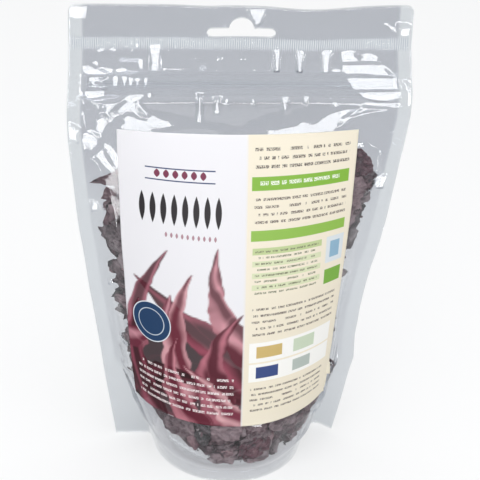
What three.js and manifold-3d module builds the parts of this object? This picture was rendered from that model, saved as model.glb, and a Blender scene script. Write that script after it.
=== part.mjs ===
// Stand-up pouch of dried dulse: a clear film pouch with a zip and a front label, filled with fronds.
// Millimetres, +Z up, front towards -Y, origin on the floor under the middle of the base.
import * as THREE from "three";
import { mergeVertices } from "three/addons/utils/BufferGeometryUtils.js";
import Module from "manifold-3d";

const wasm = await Module();
wasm.setup();

// Pouch film
const pouchWidth = 180; // laid flat, across the side seals
const pouchHeight = 280;
const filmThickness = 0.6;
const filmGap = 0.15; // from the middle plane to each panel's inner face
const sealWidth = 8; // side seals above the base
const baseSealWidth = 17; // side seals at the floor, where the gusset is sealed in
const baseSealHeight = 60;
const baseHalfWidth = 64; // half width of the standing pouch at the floor
const flatFrom = 222; // height where the bulge has run out and the two panels meet
const footLength = 7; // film that turns from the side seal into the bulge
const cornerRadius = 4;

// Zip, two strips that press together
const zipHeight = 233;
const zipFlange = 14;
const zipHalfLength = 77;
const zipRoom = 2; // how far each panel stands off the middle plane at the zip
const zipSheet = 0.6;
const ridgeReach = 1.9;
const ridgeThickness = 0.8;
const ridgeSpacing = 1.3;

// Hang hole, a slot with a hump over its middle
const holeBottom = 262;
const slotHalfLength = 18;
const slotHeight = 5.5;
const humpRadius = 6.5;
const humpTop = 273.5;

// Label
const labelHalfWidth = 65;
const labelBottom = 39;
const labelTop = 208;
const labelThickness = 0.6;
const contactGap = 0.3;

// Bottom gusset
const gussetThickness = 0.8;
const gussetSeal = 7; // height of its seal at the middle of the front
const gussetEar = 54; // height of its fold at the side seals
const gussetFlat = 16; // half length of film that lies flat on the floor
const gussetHalfLength = 75;
const gussetInset = 0.9;

// Fronds
const frondThickness = 1;
const frondMargin = 2;
const frondAngles = 24;
const frondCrumple = 0.14; // of the room between the panels
const wallRoom = 11; // least room for a layer next to others
const edgeRoom = 1.4; // least room for the middle layer, which reaches furthest out
const fillBottom = 9;
const fillTop = 198;
const cellGap = 0.6;
const frondLayers = [
  { depth: -0.88, columns: 3, halfWidth: 60, top: 186, seed: 11 },
  { depth: -0.44, columns: 2, halfWidth: 66, top: 190, seed: 23 },
  { depth: 0, columns: 2, halfWidth: 78, top: fillTop, seed: 37 },
  { depth: 0.44, columns: 2, halfWidth: 66, top: 190, seed: 41 },
  { depth: 0.88, columns: 3, halfWidth: 60, top: 186, seed: 59 },
];
const frondRows = 4;

// Lines of the film's grid: along the flat width, and up the height
const halfColumns = [0, 14, 28, 42, 54, labelHalfWidth, 70, 75, 78.5, 82, pouchWidth / 2];
const filmColumns = [...halfColumns.slice(1).reverse().map((s) => -s), ...halfColumns];
const filmRows = [0, 8, 18, 28, labelBottom, 54, 70, 86, 104, 122, 140, 158, 176, 192, labelTop,
  216, flatFrom, 225, zipHeight, 241, 244, 256, 268, pouchHeight];

const clamp = THREE.MathUtils.clamp;
const smooth = (t) => clamp(t, 0, 1) ** 2 * (3 - 2 * clamp(t, 0, 1));
const hump = (t) => Math.exp(-t * t);

// Half width of the standing pouch: the bulge draws the side seals in towards the floor.
function halfWidthAt(z) {
  return pouchWidth / 2 - (pouchWidth / 2 - baseHalfWidth) * Math.max(0, 1 - z / flatFrom) ** 1.4;
}

function sealAt(z) {
  return sealWidth + (baseSealWidth - sealWidth) * Math.max(0, 1 - z / baseSealHeight) ** 1.5;
}

// Level section of one panel. Film doesn't stretch, so its length from the middle to the side seal is
// kept, and its steepest angle is the one that brings the side seal to its place.
const sections = new Map();
function sectionAt(z) {
  if (sections.has(z)) return sections.get(z);
  const steps = 300;
  const seal = sealAt(z);
  const length = pouchWidth / 2 - seal;
  const halfChord = halfWidthAt(z) - seal;
  const turn = (s) => Math.min(s / (length - footLength), (length - s) / footLength);
  const chordFor = (angle) => {
    let chord = 0;
    for (let i = 0; i < steps; i++)
      chord += (Math.cos(angle * turn(((i + 0.5) / steps) * length)) * length) / steps;
    return chord;
  };
  let low = 0;
  let high = 2.2;
  for (let i = 0; i < 40; i++) {
    const angle = (low + high) / 2;
    if (chordFor(angle) > halfChord) low = angle;
    else high = angle;
  }
  const xs = [0];
  const falls = [0];
  for (let i = 0; i < steps; i++) {
    const angle = low * turn(((i + 0.5) / steps) * length);
    xs.push(xs[i] + (Math.cos(angle) * length) / steps);
    falls.push(falls[i] + (Math.sin(angle) * length) / steps);
  }
  const depths = falls.map((fall) => falls[steps] - fall);
  const section = { length, halfChord, steps, xs, depths, angleAt: (s) => low * turn(s) };
  sections.set(z, section);
  return section;
}

// Point of a panel at s along the flat width and height z, moved off its surface by offset.
// Its second value is the distance from the middle plane.
function panelPoint(s, z, offset) {
  const section = sectionAt(z);
  const along = Math.abs(s);
  const side = Math.sign(s);
  if (along >= section.length)
    return [side * (section.halfChord + along - section.length), offset];
  const place = (along / section.length) * section.steps;
  const i = Math.min(Math.floor(place), section.steps - 1);
  const x = THREE.MathUtils.lerp(section.xs[i], section.xs[i + 1], place - i);
  const depth = THREE.MathUtils.lerp(section.depths[i], section.depths[i + 1], place - i);
  const angle = section.angleAt(along);
  return [side * (x + Math.sin(angle) * offset), depth + Math.cos(angle) * offset];
}

// Depth of the bulge over a place on the middle plane.
function bulgeAt(x, z) {
  const section = sectionAt(z);
  const across = Math.abs(x);
  if (across >= section.halfChord) return 0;
  const i = section.xs.findIndex((value) => value > across);
  if (i < 1) return section.depths[0];
  const part = (across - section.xs[i - 1]) / (section.xs[i] - section.xs[i - 1]);
  return THREE.MathUtils.lerp(section.depths[i - 1], section.depths[i], part);
}

// Each panel stands off the middle plane a little where the zip lies between them.
function gapAt(s, z) {
  const up = smooth((11 - Math.abs(z - zipHeight)) / 3);
  const across = smooth((pouchWidth / 2 - sealWidth - Math.abs(s)) / 3.5);
  return filmGap + zipRoom * up * across;
}

// The middle plane isn't flat: the header bows forward right of the hang hole, and the right foot
// of the side seal curls back at the floor.
function middlePlane(x, z) {
  const header = smooth((z - 240) / (pouchHeight - 240));
  const bow = 6 * hump((x - 36) / 24) + 2 * hump((x + 17) / 14);
  const foot = Math.max(0, 1 - z / 35);
  return 7.5 * hump((x - 53) / 8) * foot - bow * header;
}

function bend(geometry) {
  const place = geometry.getAttribute("position");
  for (let i = 0; i < place.count; i++)
    place.setY(i, place.getY(i) + middlePlane(place.getX(i), place.getZ(i)));
  return geometry;
}

function geometryOf(positions, index) {
  const geometry = new THREE.BufferGeometry();
  geometry.setAttribute("position", new THREE.Float32BufferAttribute(positions, 3));
  geometry.setIndex(index);
  return geometry;
}

// Closed sheet between two grids of points, joined round their edge. Its outer face is the one that
// looks along the across direction turned into the up direction.
function sheet(across, up, outer, inner) {
  const positions = [];
  const index = [];
  const count = across.length * up.length;
  for (const face of [outer, inner])
    for (const v of up)
      for (const u of across) positions.push(...face(u, v));
  const at = (i, j) => j * across.length + i;
  const quad = (a, b, c, d) => index.push(a, b, c, a, c, d);
  for (let j = 0; j < up.length - 1; j++)
    for (let i = 0; i < across.length - 1; i++) {
      const [a, b, c, d] = [at(i, j), at(i + 1, j), at(i + 1, j + 1), at(i, j + 1)];
      quad(a, b, c, d);
      index.push(count + a, count + c, count + b, count + a, count + d, count + c);
    }
  const rim = [];
  for (let i = 0; i < across.length - 1; i++) rim.push(at(i, 0));
  for (let j = 0; j < up.length - 1; j++) rim.push(at(across.length - 1, j));
  for (let i = across.length - 1; i > 0; i--) rim.push(at(i, up.length - 1));
  for (let j = up.length - 1; j > 0; j--) rim.push(at(0, j));
  rim.forEach((p, k) => {
    const q = rim[(k + 1) % rim.length];
    quad(q, p, count + p, count + q);
  });
  return geometryOf(positions, index);
}

function solidOf(geometry) {
  const bare = new THREE.BufferGeometry();
  bare.setAttribute("position", geometry.getAttribute("position"));
  bare.setIndex(geometry.getIndex());
  const merged = mergeVertices(bare, 1e-4);
  return new wasm.Manifold(new wasm.Mesh({
    numProp: 3,
    vertProperties: new Float32Array(merged.getAttribute("position").array),
    triVerts: new Uint32Array(merged.getIndex().array),
  }));
}

function cut(geometry, cutters) {
  const solid = cutters.reduce((left, cutter) => left.subtract(solidOf(cutter)), solidOf(geometry));
  const mesh = solid.getMesh();
  return geometryOf(Array.from(mesh.vertProperties), Array.from(mesh.triVerts));
}

// Outline drawn on the front, pushed through both panels.
function throughCut(shape) {
  const reach = 20;
  const geometry = new THREE.ExtrudeGeometry(shape, { depth: reach, bevelEnabled: false, curveSegments: 6 });
  geometry.rotateX(Math.PI / 2);
  geometry.translate(0, reach / 2, 0);
  return geometry;
}

function hangHole() {
  const shape = new THREE.Shape();
  const middle = holeBottom + slotHeight / 2;
  const end = slotHalfLength - slotHeight / 2;
  const humpCentre = humpTop - humpRadius;
  shape.moveTo(-end, holeBottom);
  shape.lineTo(end, holeBottom);
  shape.absarc(end, middle, slotHeight / 2, -Math.PI / 2, Math.PI / 2);
  shape.lineTo(humpRadius, holeBottom + slotHeight);
  shape.absarc(0, humpCentre + 0.01, humpRadius, 0, Math.PI);
  shape.lineTo(-humpRadius, holeBottom + slotHeight);
  shape.lineTo(-end, holeBottom + slotHeight);
  shape.absarc(-end, middle, slotHeight / 2, Math.PI / 2, (3 * Math.PI) / 2);
  return throughCut(shape);
}

function cornerCut(side) {
  const shape = new THREE.Shape();
  const edge = pouchWidth / 2;
  const outside = 2;
  const from = side > 0 ? 0 : Math.PI;
  shape.moveTo(side * edge, pouchHeight - cornerRadius);
  shape.absarc(side * (edge - cornerRadius), pouchHeight - cornerRadius, cornerRadius, from, Math.PI / 2, side < 0);
  shape.lineTo(side * (edge - cornerRadius), pouchHeight + outside);
  shape.lineTo(side * (edge + outside), pouchHeight + outside);
  shape.lineTo(side * (edge + outside), pouchHeight - cornerRadius);
  return throughCut(shape);
}

// facing is -1 for the front panel and 1 for the back one.
function panel(facing) {
  const face = (extra) => (s, z) => {
    const [x, depth] = panelPoint(s, z, gapAt(s, z) + extra);
    return [x, facing * depth, z];
  };
  const [forward, backward] = facing < 0 ? [filmThickness, 0] : [0, filmThickness];
  const film = bend(sheet(filmColumns, filmRows, face(forward), face(backward)));
  return cut(film, [hangHole(), cornerCut(1), cornerCut(-1)]);
}

function label() {
  const columns = filmColumns.filter((s) => Math.abs(s) <= labelHalfWidth);
  const rows = filmRows.filter((z) => z >= labelBottom && z <= labelTop);
  const face = (extra) => (s, z) => {
    const [x, depth] = panelPoint(s, z, gapAt(s, z) + filmThickness + contactGap + extra);
    return [x, -depth, z];
  };
  return bend(sheet(columns, rows, face(labelThickness), face(0)));
}

// A zip strip is one section all along: a flange on the panel, and ridges that reach for the other strip.
function zipStrip(facing, ridgeCentres) {
  const back = filmGap + zipRoom - contactGap;
  const front = back - zipSheet;
  const tip = front - ridgeReach;
  const shape = new THREE.Shape();
  shape.moveTo(back, -zipFlange / 2);
  shape.lineTo(back, zipFlange / 2);
  shape.lineTo(front, zipFlange / 2);
  for (const centre of [...ridgeCentres].reverse()) {
    shape.lineTo(front, centre + ridgeThickness / 2);
    shape.lineTo(tip, centre + ridgeThickness / 2);
    shape.lineTo(tip, centre - ridgeThickness / 2);
    shape.lineTo(front, centre - ridgeThickness / 2);
  }
  shape.lineTo(front, -zipFlange / 2);
  const geometry = new THREE.ExtrudeGeometry(shape, { depth: 2 * zipHalfLength, steps: 2, bevelEnabled: false });
  geometry.rotateX(Math.PI / 2);
  geometry.rotateZ((facing * Math.PI) / 2);
  geometry.translate(-facing * zipHalfLength, 0, zipHeight);
  return bend(geometry);
}

// Height of the line that seals the gusset to the front and back panels.
function gussetSealLine(s) {
  return gussetSeal + (gussetEar - gussetSeal) * (Math.abs(s) / 82) ** 3.5;
}

// Height of the gusset's middle fold, flat on the floor in the middle and high at the side seals.
function gussetFold(s) {
  const rise = clamp((Math.abs(s) - gussetFlat) / (82 - gussetFlat), 0, 1) ** 1.6;
  return gussetThickness / 2 + (gussetEar - gussetThickness / 2) * rise;
}

// The gusset's skirt starts at the floor, and near the side seals it starts where they leave room.
function gussetSkirt(s) {
  const room = clamp((pouchWidth / 2 - Math.abs(s) - 5.5 - sealWidth) / (baseSealWidth - sealWidth), 0, 1);
  const open = baseSealHeight * (1 - room ** (2 / 3));
  return clamp(open, 0, gussetSealLine(s) - 2);
}

function bottomGusset() {
  const columns = filmColumns.filter((s) => Math.abs(s) <= gussetHalfLength);
  const skirt = 1.5;
  const rows = [-skirt, -1, -0.8, -0.5, 0, 0.5, 0.8, 1, skirt];
  const half = gussetThickness / 2;
  const face = (thick) => (s, m) => {
    const sealLine = gussetSealLine(s);
    const onSkirt = Math.abs(m) === skirt;
    const height = onSkirt ? gussetSkirt(s) : sealLine;
    const sideways = onSkirt || Math.abs(m) === 1 ? thick : 0;
    const upward = onSkirt ? 0 : thick;
    const [x, depth] = panelPoint(s, height, sideways - gussetInset);
    if (Math.abs(m) >= 1) return [x, Math.sign(m) * depth, height + upward];
    const settled = smooth((1 - Math.abs(m)) / 0.5);
    return [x, m * depth, sealLine + (gussetFold(s) - sealLine) * settled + upward];
  };
  return bend(sheet(columns, rows, face(half), face(-half)));
}

// Lowest place of the fronds: they heap on the gusset, which climbs towards the side seals.
function heapFloor(x) {
  return fillBottom + (gussetEar - gussetSeal) * (Math.abs(x) / 62) ** 2.2;
}

function seeded(seed) {
  let state = seed;
  return () => {
    state = (state * 1664525 + 1013904223) % 4294967296;
    return state / 4294967296;
  };
}

// One frond: a thin lobed blade, crumpled front to back inside its layer of the heap. It is a fan of
// triangles round a middle point, the same on both faces.
function frond(layer, cell, random) {
  const centre = [(cell.left + cell.right) / 2, (cell.low + cell.high) / 2];
  const waves = [0.07 + 0.06 * random(), 0.06 + 0.06 * random()];
  const phases = [random() * 6.28, random() * 6.28];
  const roomAt = (x, z) => bulgeAt(x, z) - frondMargin;
  const least = layer.depth === 0 ? edgeRoom : wallRoom;
  const fits = (x, z) =>
    x > cell.left + cellGap && x < cell.right - cellGap && z > cell.low + cellGap &&
    z < cell.high - cellGap && z > heapFloor(x) && roomAt(x, z) > least;
  while (!fits(...centre) && Math.abs(centre[0]) > 1) centre[0] *= 0.95;
  const depthAt = (x, z) => {
    const crumple = 0.5 * Math.sin(waves[0] * x + waves[1] * z + phases[0]) +
      0.5 * Math.sin(waves[1] * x * 1.7 - waves[0] * z * 1.4 + phases[1]);
    return (layer.depth + frondCrumple * crumple) * roomAt(x, z);
  };
  const lobes = 6;
  const turn = random() * 6.28;
  const lengths = Array.from({ length: lobes }, () => 0.8 + 0.5 * random());
  const size = [(cell.right - cell.left) / 2, (cell.high - cell.low) / 2];
  const outline = [];
  for (let i = 0; i < frondAngles; i++) {
    const angle = (i / frondAngles) * 2 * Math.PI;
    const lobe = (i / frondAngles) * lobes;
    const tip = Math.abs(Math.cos(lobe * Math.PI)) ** 0.6;
    const wanted = (0.5 + 0.62 * tip) * lengths[Math.floor(lobe + 0.5) % lobes];
    const way = [Math.cos(angle + turn) * size[0], Math.sin(angle + turn) * size[1]];
    let reach = 0;
    while (reach < wanted && fits(centre[0] + way[0] * (reach + 0.02), centre[1] + way[1] * (reach + 0.02)))
      reach += 0.02;
    outline.push([way[0] * reach, way[1] * reach]);
  }
  const places = [centre];
  for (const ring of [0.5, 1])
    for (const [dx, dz] of outline) places.push([centre[0] + dx * ring, centre[1] + dz * ring]);
  const positions = [];
  for (const facing of [-1, 1])
    for (const [x, z] of places) positions.push(x, depthAt(x, z) + (facing * frondThickness) / 2, z);
  const index = [];
  const count = places.length;
  const triangle = (a, b, c) => index.push(a, b, c, count + a, count + c, count + b);
  for (let i = 0; i < frondAngles; i++) {
    const next = (i + 1) % frondAngles;
    const [a, b, c, d] = [1 + i, 1 + next, 1 + frondAngles + next, 1 + frondAngles + i];
    triangle(0, a, b);
    triangle(a, d, c);
    triangle(a, c, b);
    index.push(c, d, count + d, c, count + d, count + c);
  }
  return bend(geometryOf(positions, index));
}

function frondsOf(layer) {
  const random = seeded(layer.seed);
  const fronds = [];
  for (let row = 0; row < frondRows; row++) {
    const low = THREE.MathUtils.lerp(fillBottom, layer.top, row / frondRows);
    const high = THREE.MathUtils.lerp(fillBottom, layer.top, (row + 1) / frondRows);
    const stagger = (row % 2 ? 1 : -1) * 5;
    for (let column = 0; column < layer.columns; column++) {
      const edge = (k) => {
        const place = THREE.MathUtils.lerp(-layer.halfWidth, layer.halfWidth, k / layer.columns);
        return k > 0 && k < layer.columns ? place + stagger : place;
      };
      fronds.push(frond(layer, { left: edge(column), right: edge(column + 1), low, high }, random));
    }
  }
  return fronds;
}

const film = { color: 0xd4dadd, roughness: 0.12, metalness: 0, transparent: true, opacity: 0.35 };
const zipFilm = { color: 0xdfe4e6, roughness: 0.25, metalness: 0, transparent: true, opacity: 0.5 };
const paper = { color: 0xf3efe6, roughness: 0.45, metalness: 0 };
const dulse = { color: 0x4a3038, roughness: 0.7, metalness: 0 };

const pouch = new THREE.Group();

function add(name, geometry, look) {
  geometry.computeVertexNormals();
  const mesh = new THREE.Mesh(geometry, new THREE.MeshStandardMaterial(look));
  mesh.name = name;
  pouch.add(mesh);
}

add("front_panel", panel(-1), film);
add("back_panel", panel(1), film);
add("bottom_gusset", bottomGusset(), film);
add("zip_groove", zipStrip(-1, [-ridgeSpacing, ridgeSpacing]), zipFilm);
add("zip_tongue", zipStrip(1, [0]), zipFilm);
add("label", label(), paper);
frondLayers.flatMap(frondsOf).forEach((geometry, i) => {
  add("frond_" + String(i + 1).padStart(2, "0"), geometry, dulse);
});

export default pouch;
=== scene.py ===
# Stand-up pouch of dried dulse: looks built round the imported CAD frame.
# Lengths in the dictionaries and formulas are millimetres, and newMesh turns them into metres.
import math
import bpy
import numpy as np
from mathutils import Matrix, Vector


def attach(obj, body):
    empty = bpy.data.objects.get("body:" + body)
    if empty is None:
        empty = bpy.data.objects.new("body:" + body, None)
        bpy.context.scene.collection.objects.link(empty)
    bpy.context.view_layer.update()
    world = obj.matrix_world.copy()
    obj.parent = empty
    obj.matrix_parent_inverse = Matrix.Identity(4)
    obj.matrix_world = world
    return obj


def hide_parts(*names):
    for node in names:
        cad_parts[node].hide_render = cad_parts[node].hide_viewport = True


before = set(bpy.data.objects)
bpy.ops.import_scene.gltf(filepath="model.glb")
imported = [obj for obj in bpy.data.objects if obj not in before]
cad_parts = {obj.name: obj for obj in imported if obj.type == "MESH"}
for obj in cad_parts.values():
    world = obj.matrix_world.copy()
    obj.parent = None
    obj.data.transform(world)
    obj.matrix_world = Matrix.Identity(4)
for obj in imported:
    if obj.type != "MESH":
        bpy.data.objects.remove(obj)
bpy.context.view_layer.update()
print("frame loaded")

pouch = {
    "halfWidth": 90,  # laid flat
    "height": 280,
    "baseHalfWidth": 64,  # at the floor, once it stands
    "flatFrom": 222,  # height where the bulge has run out
    "footLength": 7,
    "cornerRadius": 4,
    "sealWidth": 8,
    "baseSealWidth": 17,
    "baseSealHeight": 60,
    "gap": 0.15,  # from the middle plane to a panel's inner face
    "cadFilm": 0.6,  # film of the CAD, thicker than the real one
    "film": 0.16,
    "zipHeight": 233,
    "zipRoom": 0.8,  # how far each panel stands off at the zip
    "zipReach": 11.5,  # and how far above and below it
    "ribsFrom": 254,  # heat seal under the hang hole
    "ribsTo": 262,
}
betweenSeals = pouch["halfWidth"] - pouch["sealWidth"]  # flat half width inside the side seals
hole = {"bottom": 262, "slotHalf": 18, "slotHeight": 5.5, "humpRadius": 6.5, "humpTop": 273.5}


# Eases from 0 to 1, then a bell of height 1.
def smooth(t):
    t = np.clip(t, 0, 1)
    return t * t * (3 - 2 * t)


def hump(t):
    return np.exp(-np.square(t))


# Half width of the standing pouch, then width of its side seals, at each height.
def halfWidthAt(z):
    rise = np.maximum(0, 1 - z / pouch["flatFrom"]) ** 1.4
    return pouch["halfWidth"] - (pouch["halfWidth"] - pouch["baseHalfWidth"]) * rise


def sealAt(z):
    rise = np.maximum(0, 1 - z / pouch["baseSealHeight"]) ** 1.5
    return pouch["sealWidth"] + (pouch["baseSealWidth"] - pouch["sealWidth"]) * rise


# Level sections of the film, one row for each millimetre of height and two columns for each millimetre
# along the flat width: place across, depth of the bulge and the angle that the film stands at.
tableRows = np.arange(0, pouch["height"] + 1)
tableColumns = np.arange(0, pouch["halfWidth"] + 0.01, 0.5)


def sectionTables():
    across, depth, angle = (np.zeros((len(tableRows), len(tableColumns))) for _ in range(3))
    steps = 400
    for row, z in enumerate(tableRows):
        length = pouch["halfWidth"] - sealAt(z)
        chord = halfWidthAt(z) - sealAt(z)
        along = (np.arange(steps) + 0.5) / steps * length
        turn = np.minimum(along / (length - pouch["footLength"]), (length - along) / pouch["footLength"])
        low, high = 0.0, 2.2  # halved until the film's turn lets it span its chord
        for _ in range(40):
            middle = (low + high) / 2
            if np.cos(middle * turn).mean() * length > chord:
                low = middle
            else:
                high = middle
        edges = np.linspace(0, length, steps + 1)
        xs = np.concatenate([[0], np.cumsum(np.cos(low * turn))]) * length / steps
        falls = np.concatenate([[0], np.cumsum(np.sin(low * turn))]) * length / steps
        curved = np.interp(tableColumns, edges, xs)
        across[row] = np.where(tableColumns < length, curved, chord + tableColumns - length)
        depth[row] = np.interp(tableColumns, edges, falls[-1] - falls)
        angle[row] = np.interp(tableColumns, along, low * turn, right=0)
    return across, depth, angle


acrossTable, depthTable, angleTable = sectionTables()


# A table's value at a place on the flat film.
def lookUp(table, s, z):
    row = np.clip(z, 0, pouch["height"] - 1e-6)
    column = np.clip(np.abs(s) * 2, 0, len(tableColumns) - 1 - 1e-6)
    i, j = row.astype(int), column.astype(int)
    v, u = row - i, column - j
    low = table[i, j] * (1 - u) + table[i, j + 1] * u
    high = table[i + 1, j] * (1 - u) + table[i + 1, j + 1] * u
    return low * (1 - v) + high * v


# How far a panel's inner face stands from the middle plane, as the zip holds the panels apart.
def gapAt(s, z):
    up = smooth((pouch["zipReach"] - np.abs(z - pouch["zipHeight"])) / 5)
    side = smooth((betweenSeals - np.abs(s)) / 3.5)
    loose = 0.45 + 0.55 * noise(s / 13 + 40, 0 * s, 6)
    return pouch["gap"] + pouch["zipRoom"] * up * side * loose


# Value noise from 0 to 1 on a grid of cells, the same every run.
def noise(u, v, seed):
    i, j = np.floor(u), np.floor(v)
    fu, fv = smooth(u - i), smooth(v - j)

    def corner(p, q):
        n = np.sin(p * 127.1 + q * 311.7 + seed * 74.7) * 43758.5453
        return n - np.floor(n)

    low = corner(i, j) * (1 - fu) + corner(i + 1, j) * fu
    high = corner(i, j + 1) * (1 - fu) + corner(i + 1, j + 1) * fu
    return low * (1 - fv) + high * fv


# Sharp crests along the lines where the noise passes its middle, as creases in film run.
def creased(u, v, seed):
    return 1 - np.abs(2 * noise(u, v, seed) - 1)


# Depth of the plane between the panels: bowed forward in the header, pushed back at the right foot.
def middlePlane(x, z):
    header = smooth((z - 240) / 40)
    bow = 6 * hump((x - 36) / 24) + 2 * hump((x + 17) / 14)
    return 7.5 * hump((x - 53) / 8) * np.maximum(0, 1 - z / 35) - bow * header


# Long waves that both panels share, in the header and down the side seals.
def ripple(s, z):
    edge = smooth((np.abs(s) - 70) / 20) * smooth((z - 20) / 40)
    side = np.where(s < 0, noise(z / 17, 0 * z, 3), noise(z / 21, 0 * z, 8)) - 0.5
    header = smooth((z - 238) / 20) * (noise(s / 19, z / 40, 5) - 0.5)
    return 1.8 * edge * side + 1.0 * header


# How far each side seal has been pushed out, or in where negative, at heights from the floor up.
pushed = {
    "heights": [0, 45, 54, 70, 89, 104, 118, 133, 145, 170, 185, 200, 214, 229, 244, 256],
    "left": [1.1, 0.9, 0.6, 0.6, 0.8, 1.1, 1.1, 1.3, 1.9, 1.8, 1.9, 2.2, 1.8, 0.9, 0.2, 0],
    "right": [-1.6, -1.0, -0.2, -2.8, -3.8, -3.3, -2.8, -1.1, 0, 0.9, 1.1, 2.2, 3.2, 2.8, 1.2, 0],
}


def pushOut(s, z):
    left, right = (np.interp(z, pushed["heights"], pushed[side]) for side in ("left", "right"))
    return smooth((np.abs(s) - 62) / 20) * np.where(s < 0, left, right)


# Place in space of a point of a panel: along its flat width, up its height, and out from the middle plane.
def filmPoint(s, z, offset, facing):
    s, z, offset = np.broadcast_arrays(np.asarray(s, float), np.asarray(z, float), np.asarray(offset, float))
    angle = lookUp(angleTable, s, z)
    x = lookUp(acrossTable, s, z) + np.sin(angle) * offset + pushOut(s, z)
    depth = lookUp(depthTable, s, z) + np.cos(angle) * offset
    x = np.sign(s) * x
    return np.stack([x, facing * depth + middlePlane(x, z) + ripple(s, z), z], -1)


def newMesh(name, points, faces, edges=(), smoothShade=True):
    mesh = bpy.data.meshes.new(name)
    if not isinstance(faces, list):
        faces = faces.tolist()
    mesh.from_pydata((np.asarray(points) / 1000).tolist(), edges, faces)
    mesh.polygons.foreach_set("use_smooth", [smoothShade] * len(mesh.polygons))
    mesh.update()
    piece = bpy.data.objects.new(name, mesh)
    bpy.context.scene.collection.objects.link(piece)
    return piece


def setAttribute(piece, name, values):
    values = np.asarray(values, float)
    kind = "FLOAT" if values.ndim == 1 else "FLOAT_COLOR"
    attribute = piece.data.attributes.new(name, kind, "POINT")
    attribute.data.foreach_set("value" if kind == "FLOAT" else "color", values.ravel())


# Gives a surface its thickness in millimetres, half to each side.
def addWall(piece, name, thickness):
    wall = piece.modifiers.new(name, "SOLIDIFY")
    wall.thickness = thickness / 1000
    wall.offset = 0
    return wall


def gridFaces(columns, rows, flip=False):
    a = (np.arange(rows - 1)[:, None] * columns + np.arange(columns - 1)[None]).ravel()
    quads = np.stack([a, a + 1, a + columns + 1, a + columns], -1)
    return quads[:, ::-1] if flip else quads


def hexToLinear(text):
    channels = [int(text[i : i + 2], 16) / 255 for i in (1, 3, 5)]
    return tuple(c / 12.92 if c <= 0.04045 else ((c + 0.055) / 1.055) ** 2.4 for c in channels) + (1,)


# Adds a node with its settings and inputs. A node given as an input stands for its first output.
def addNode(tree, kind, inputs=None, **settings):
    node = tree.nodes.new(kind)
    for name, value in settings.items():
        setattr(node, name, value)
    for name, value in (inputs or {}).items():
        if isinstance(value, bpy.types.Node):
            value = value.outputs[0]
        if isinstance(value, bpy.types.NodeSocket):
            tree.links.new(value, node.inputs[name])
        else:
            node.inputs[name].default_value = value
    return node


def newMaterial(name):
    material = bpy.data.materials.new(name)
    material.use_nodes = True
    material.node_tree.nodes.clear()
    return material, material.node_tree


# Clear laminated film, PET over PE, cast and then folded by hand: it takes a little light away, gives
# sharp reflections on its creases, and is milky where heat has welded it and in one painted highlight streak.
def filmMaterial(name, tint, milkiness, mirrorAtFront, sealedOrPaintedLightTint=None):
    material, tree = newMaterial(name)
    seal = addNode(tree, "ShaderNodeAttribute", attribute_name="seal").outputs["Fac"]
    tint = hexToLinear(tint)
    if sealedOrPaintedLightTint:
        # Where sealed, the tint turns to the lighter sealed tint; in the lower film it turns partway there
        # too, as painted light.
        sealOrPaintedLight = addNode(tree, "ShaderNodeAttribute", attribute_name="sealOrPaintedLight").outputs["Fac"]
        tints = {0: sealOrPaintedLight, 6: tint, 7: hexToLinear(sealedOrPaintedLightTint)}
        tint = addNode(tree, "ShaderNodeMix", tints, data_type="RGBA").outputs[2]
    clear = addNode(tree, "ShaderNodeBsdfTransparent", {"Color": tint})
    milk = addNode(tree, "ShaderNodeBsdfDiffuse", {"Color": hexToLinear("#e8ecf0")})
    haze = addNode(tree, "ShaderNodeMath", {0: seal, 1: 0.04, 2: milkiness}, operation="MULTIPLY_ADD")
    body = addNode(tree, "ShaderNodeMixShader", {0: haze, 1: clear, 2: milk})
    place = addNode(tree, "ShaderNodeTexCoord").outputs["Object"]
    grain = addNode(tree, "ShaderNodeTexNoise", {"Vector": place, "Scale": 1 / 0.004, "Detail": 3.0})
    bump = addNode(tree, "ShaderNodeBump", {"Height": grain, "Strength": 0.08, "Distance": 0.0002})
    gloss = addNode(tree, "ShaderNodeBsdfGlossy", {"Color": (1, 1, 1, 1), "Roughness": 0.06, "Normal": bump})
    facing = addNode(tree, "ShaderNodeLayerWeight", {"Blend": 0.5})
    power = addNode(tree, "ShaderNodeMath", {0: facing.outputs["Facing"], 1: 4.0}, operation="POWER")
    mirror = addNode(tree, "ShaderNodeMath", {0: power, 1: 0.8, 2: mirrorAtFront}, operation="MULTIPLY_ADD")
    look = addNode(tree, "ShaderNodeMixShader", {0: mirror, 1: body, 2: gloss})
    addNode(tree, "ShaderNodeOutputMaterial", {"Surface": look})
    return material


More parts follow.
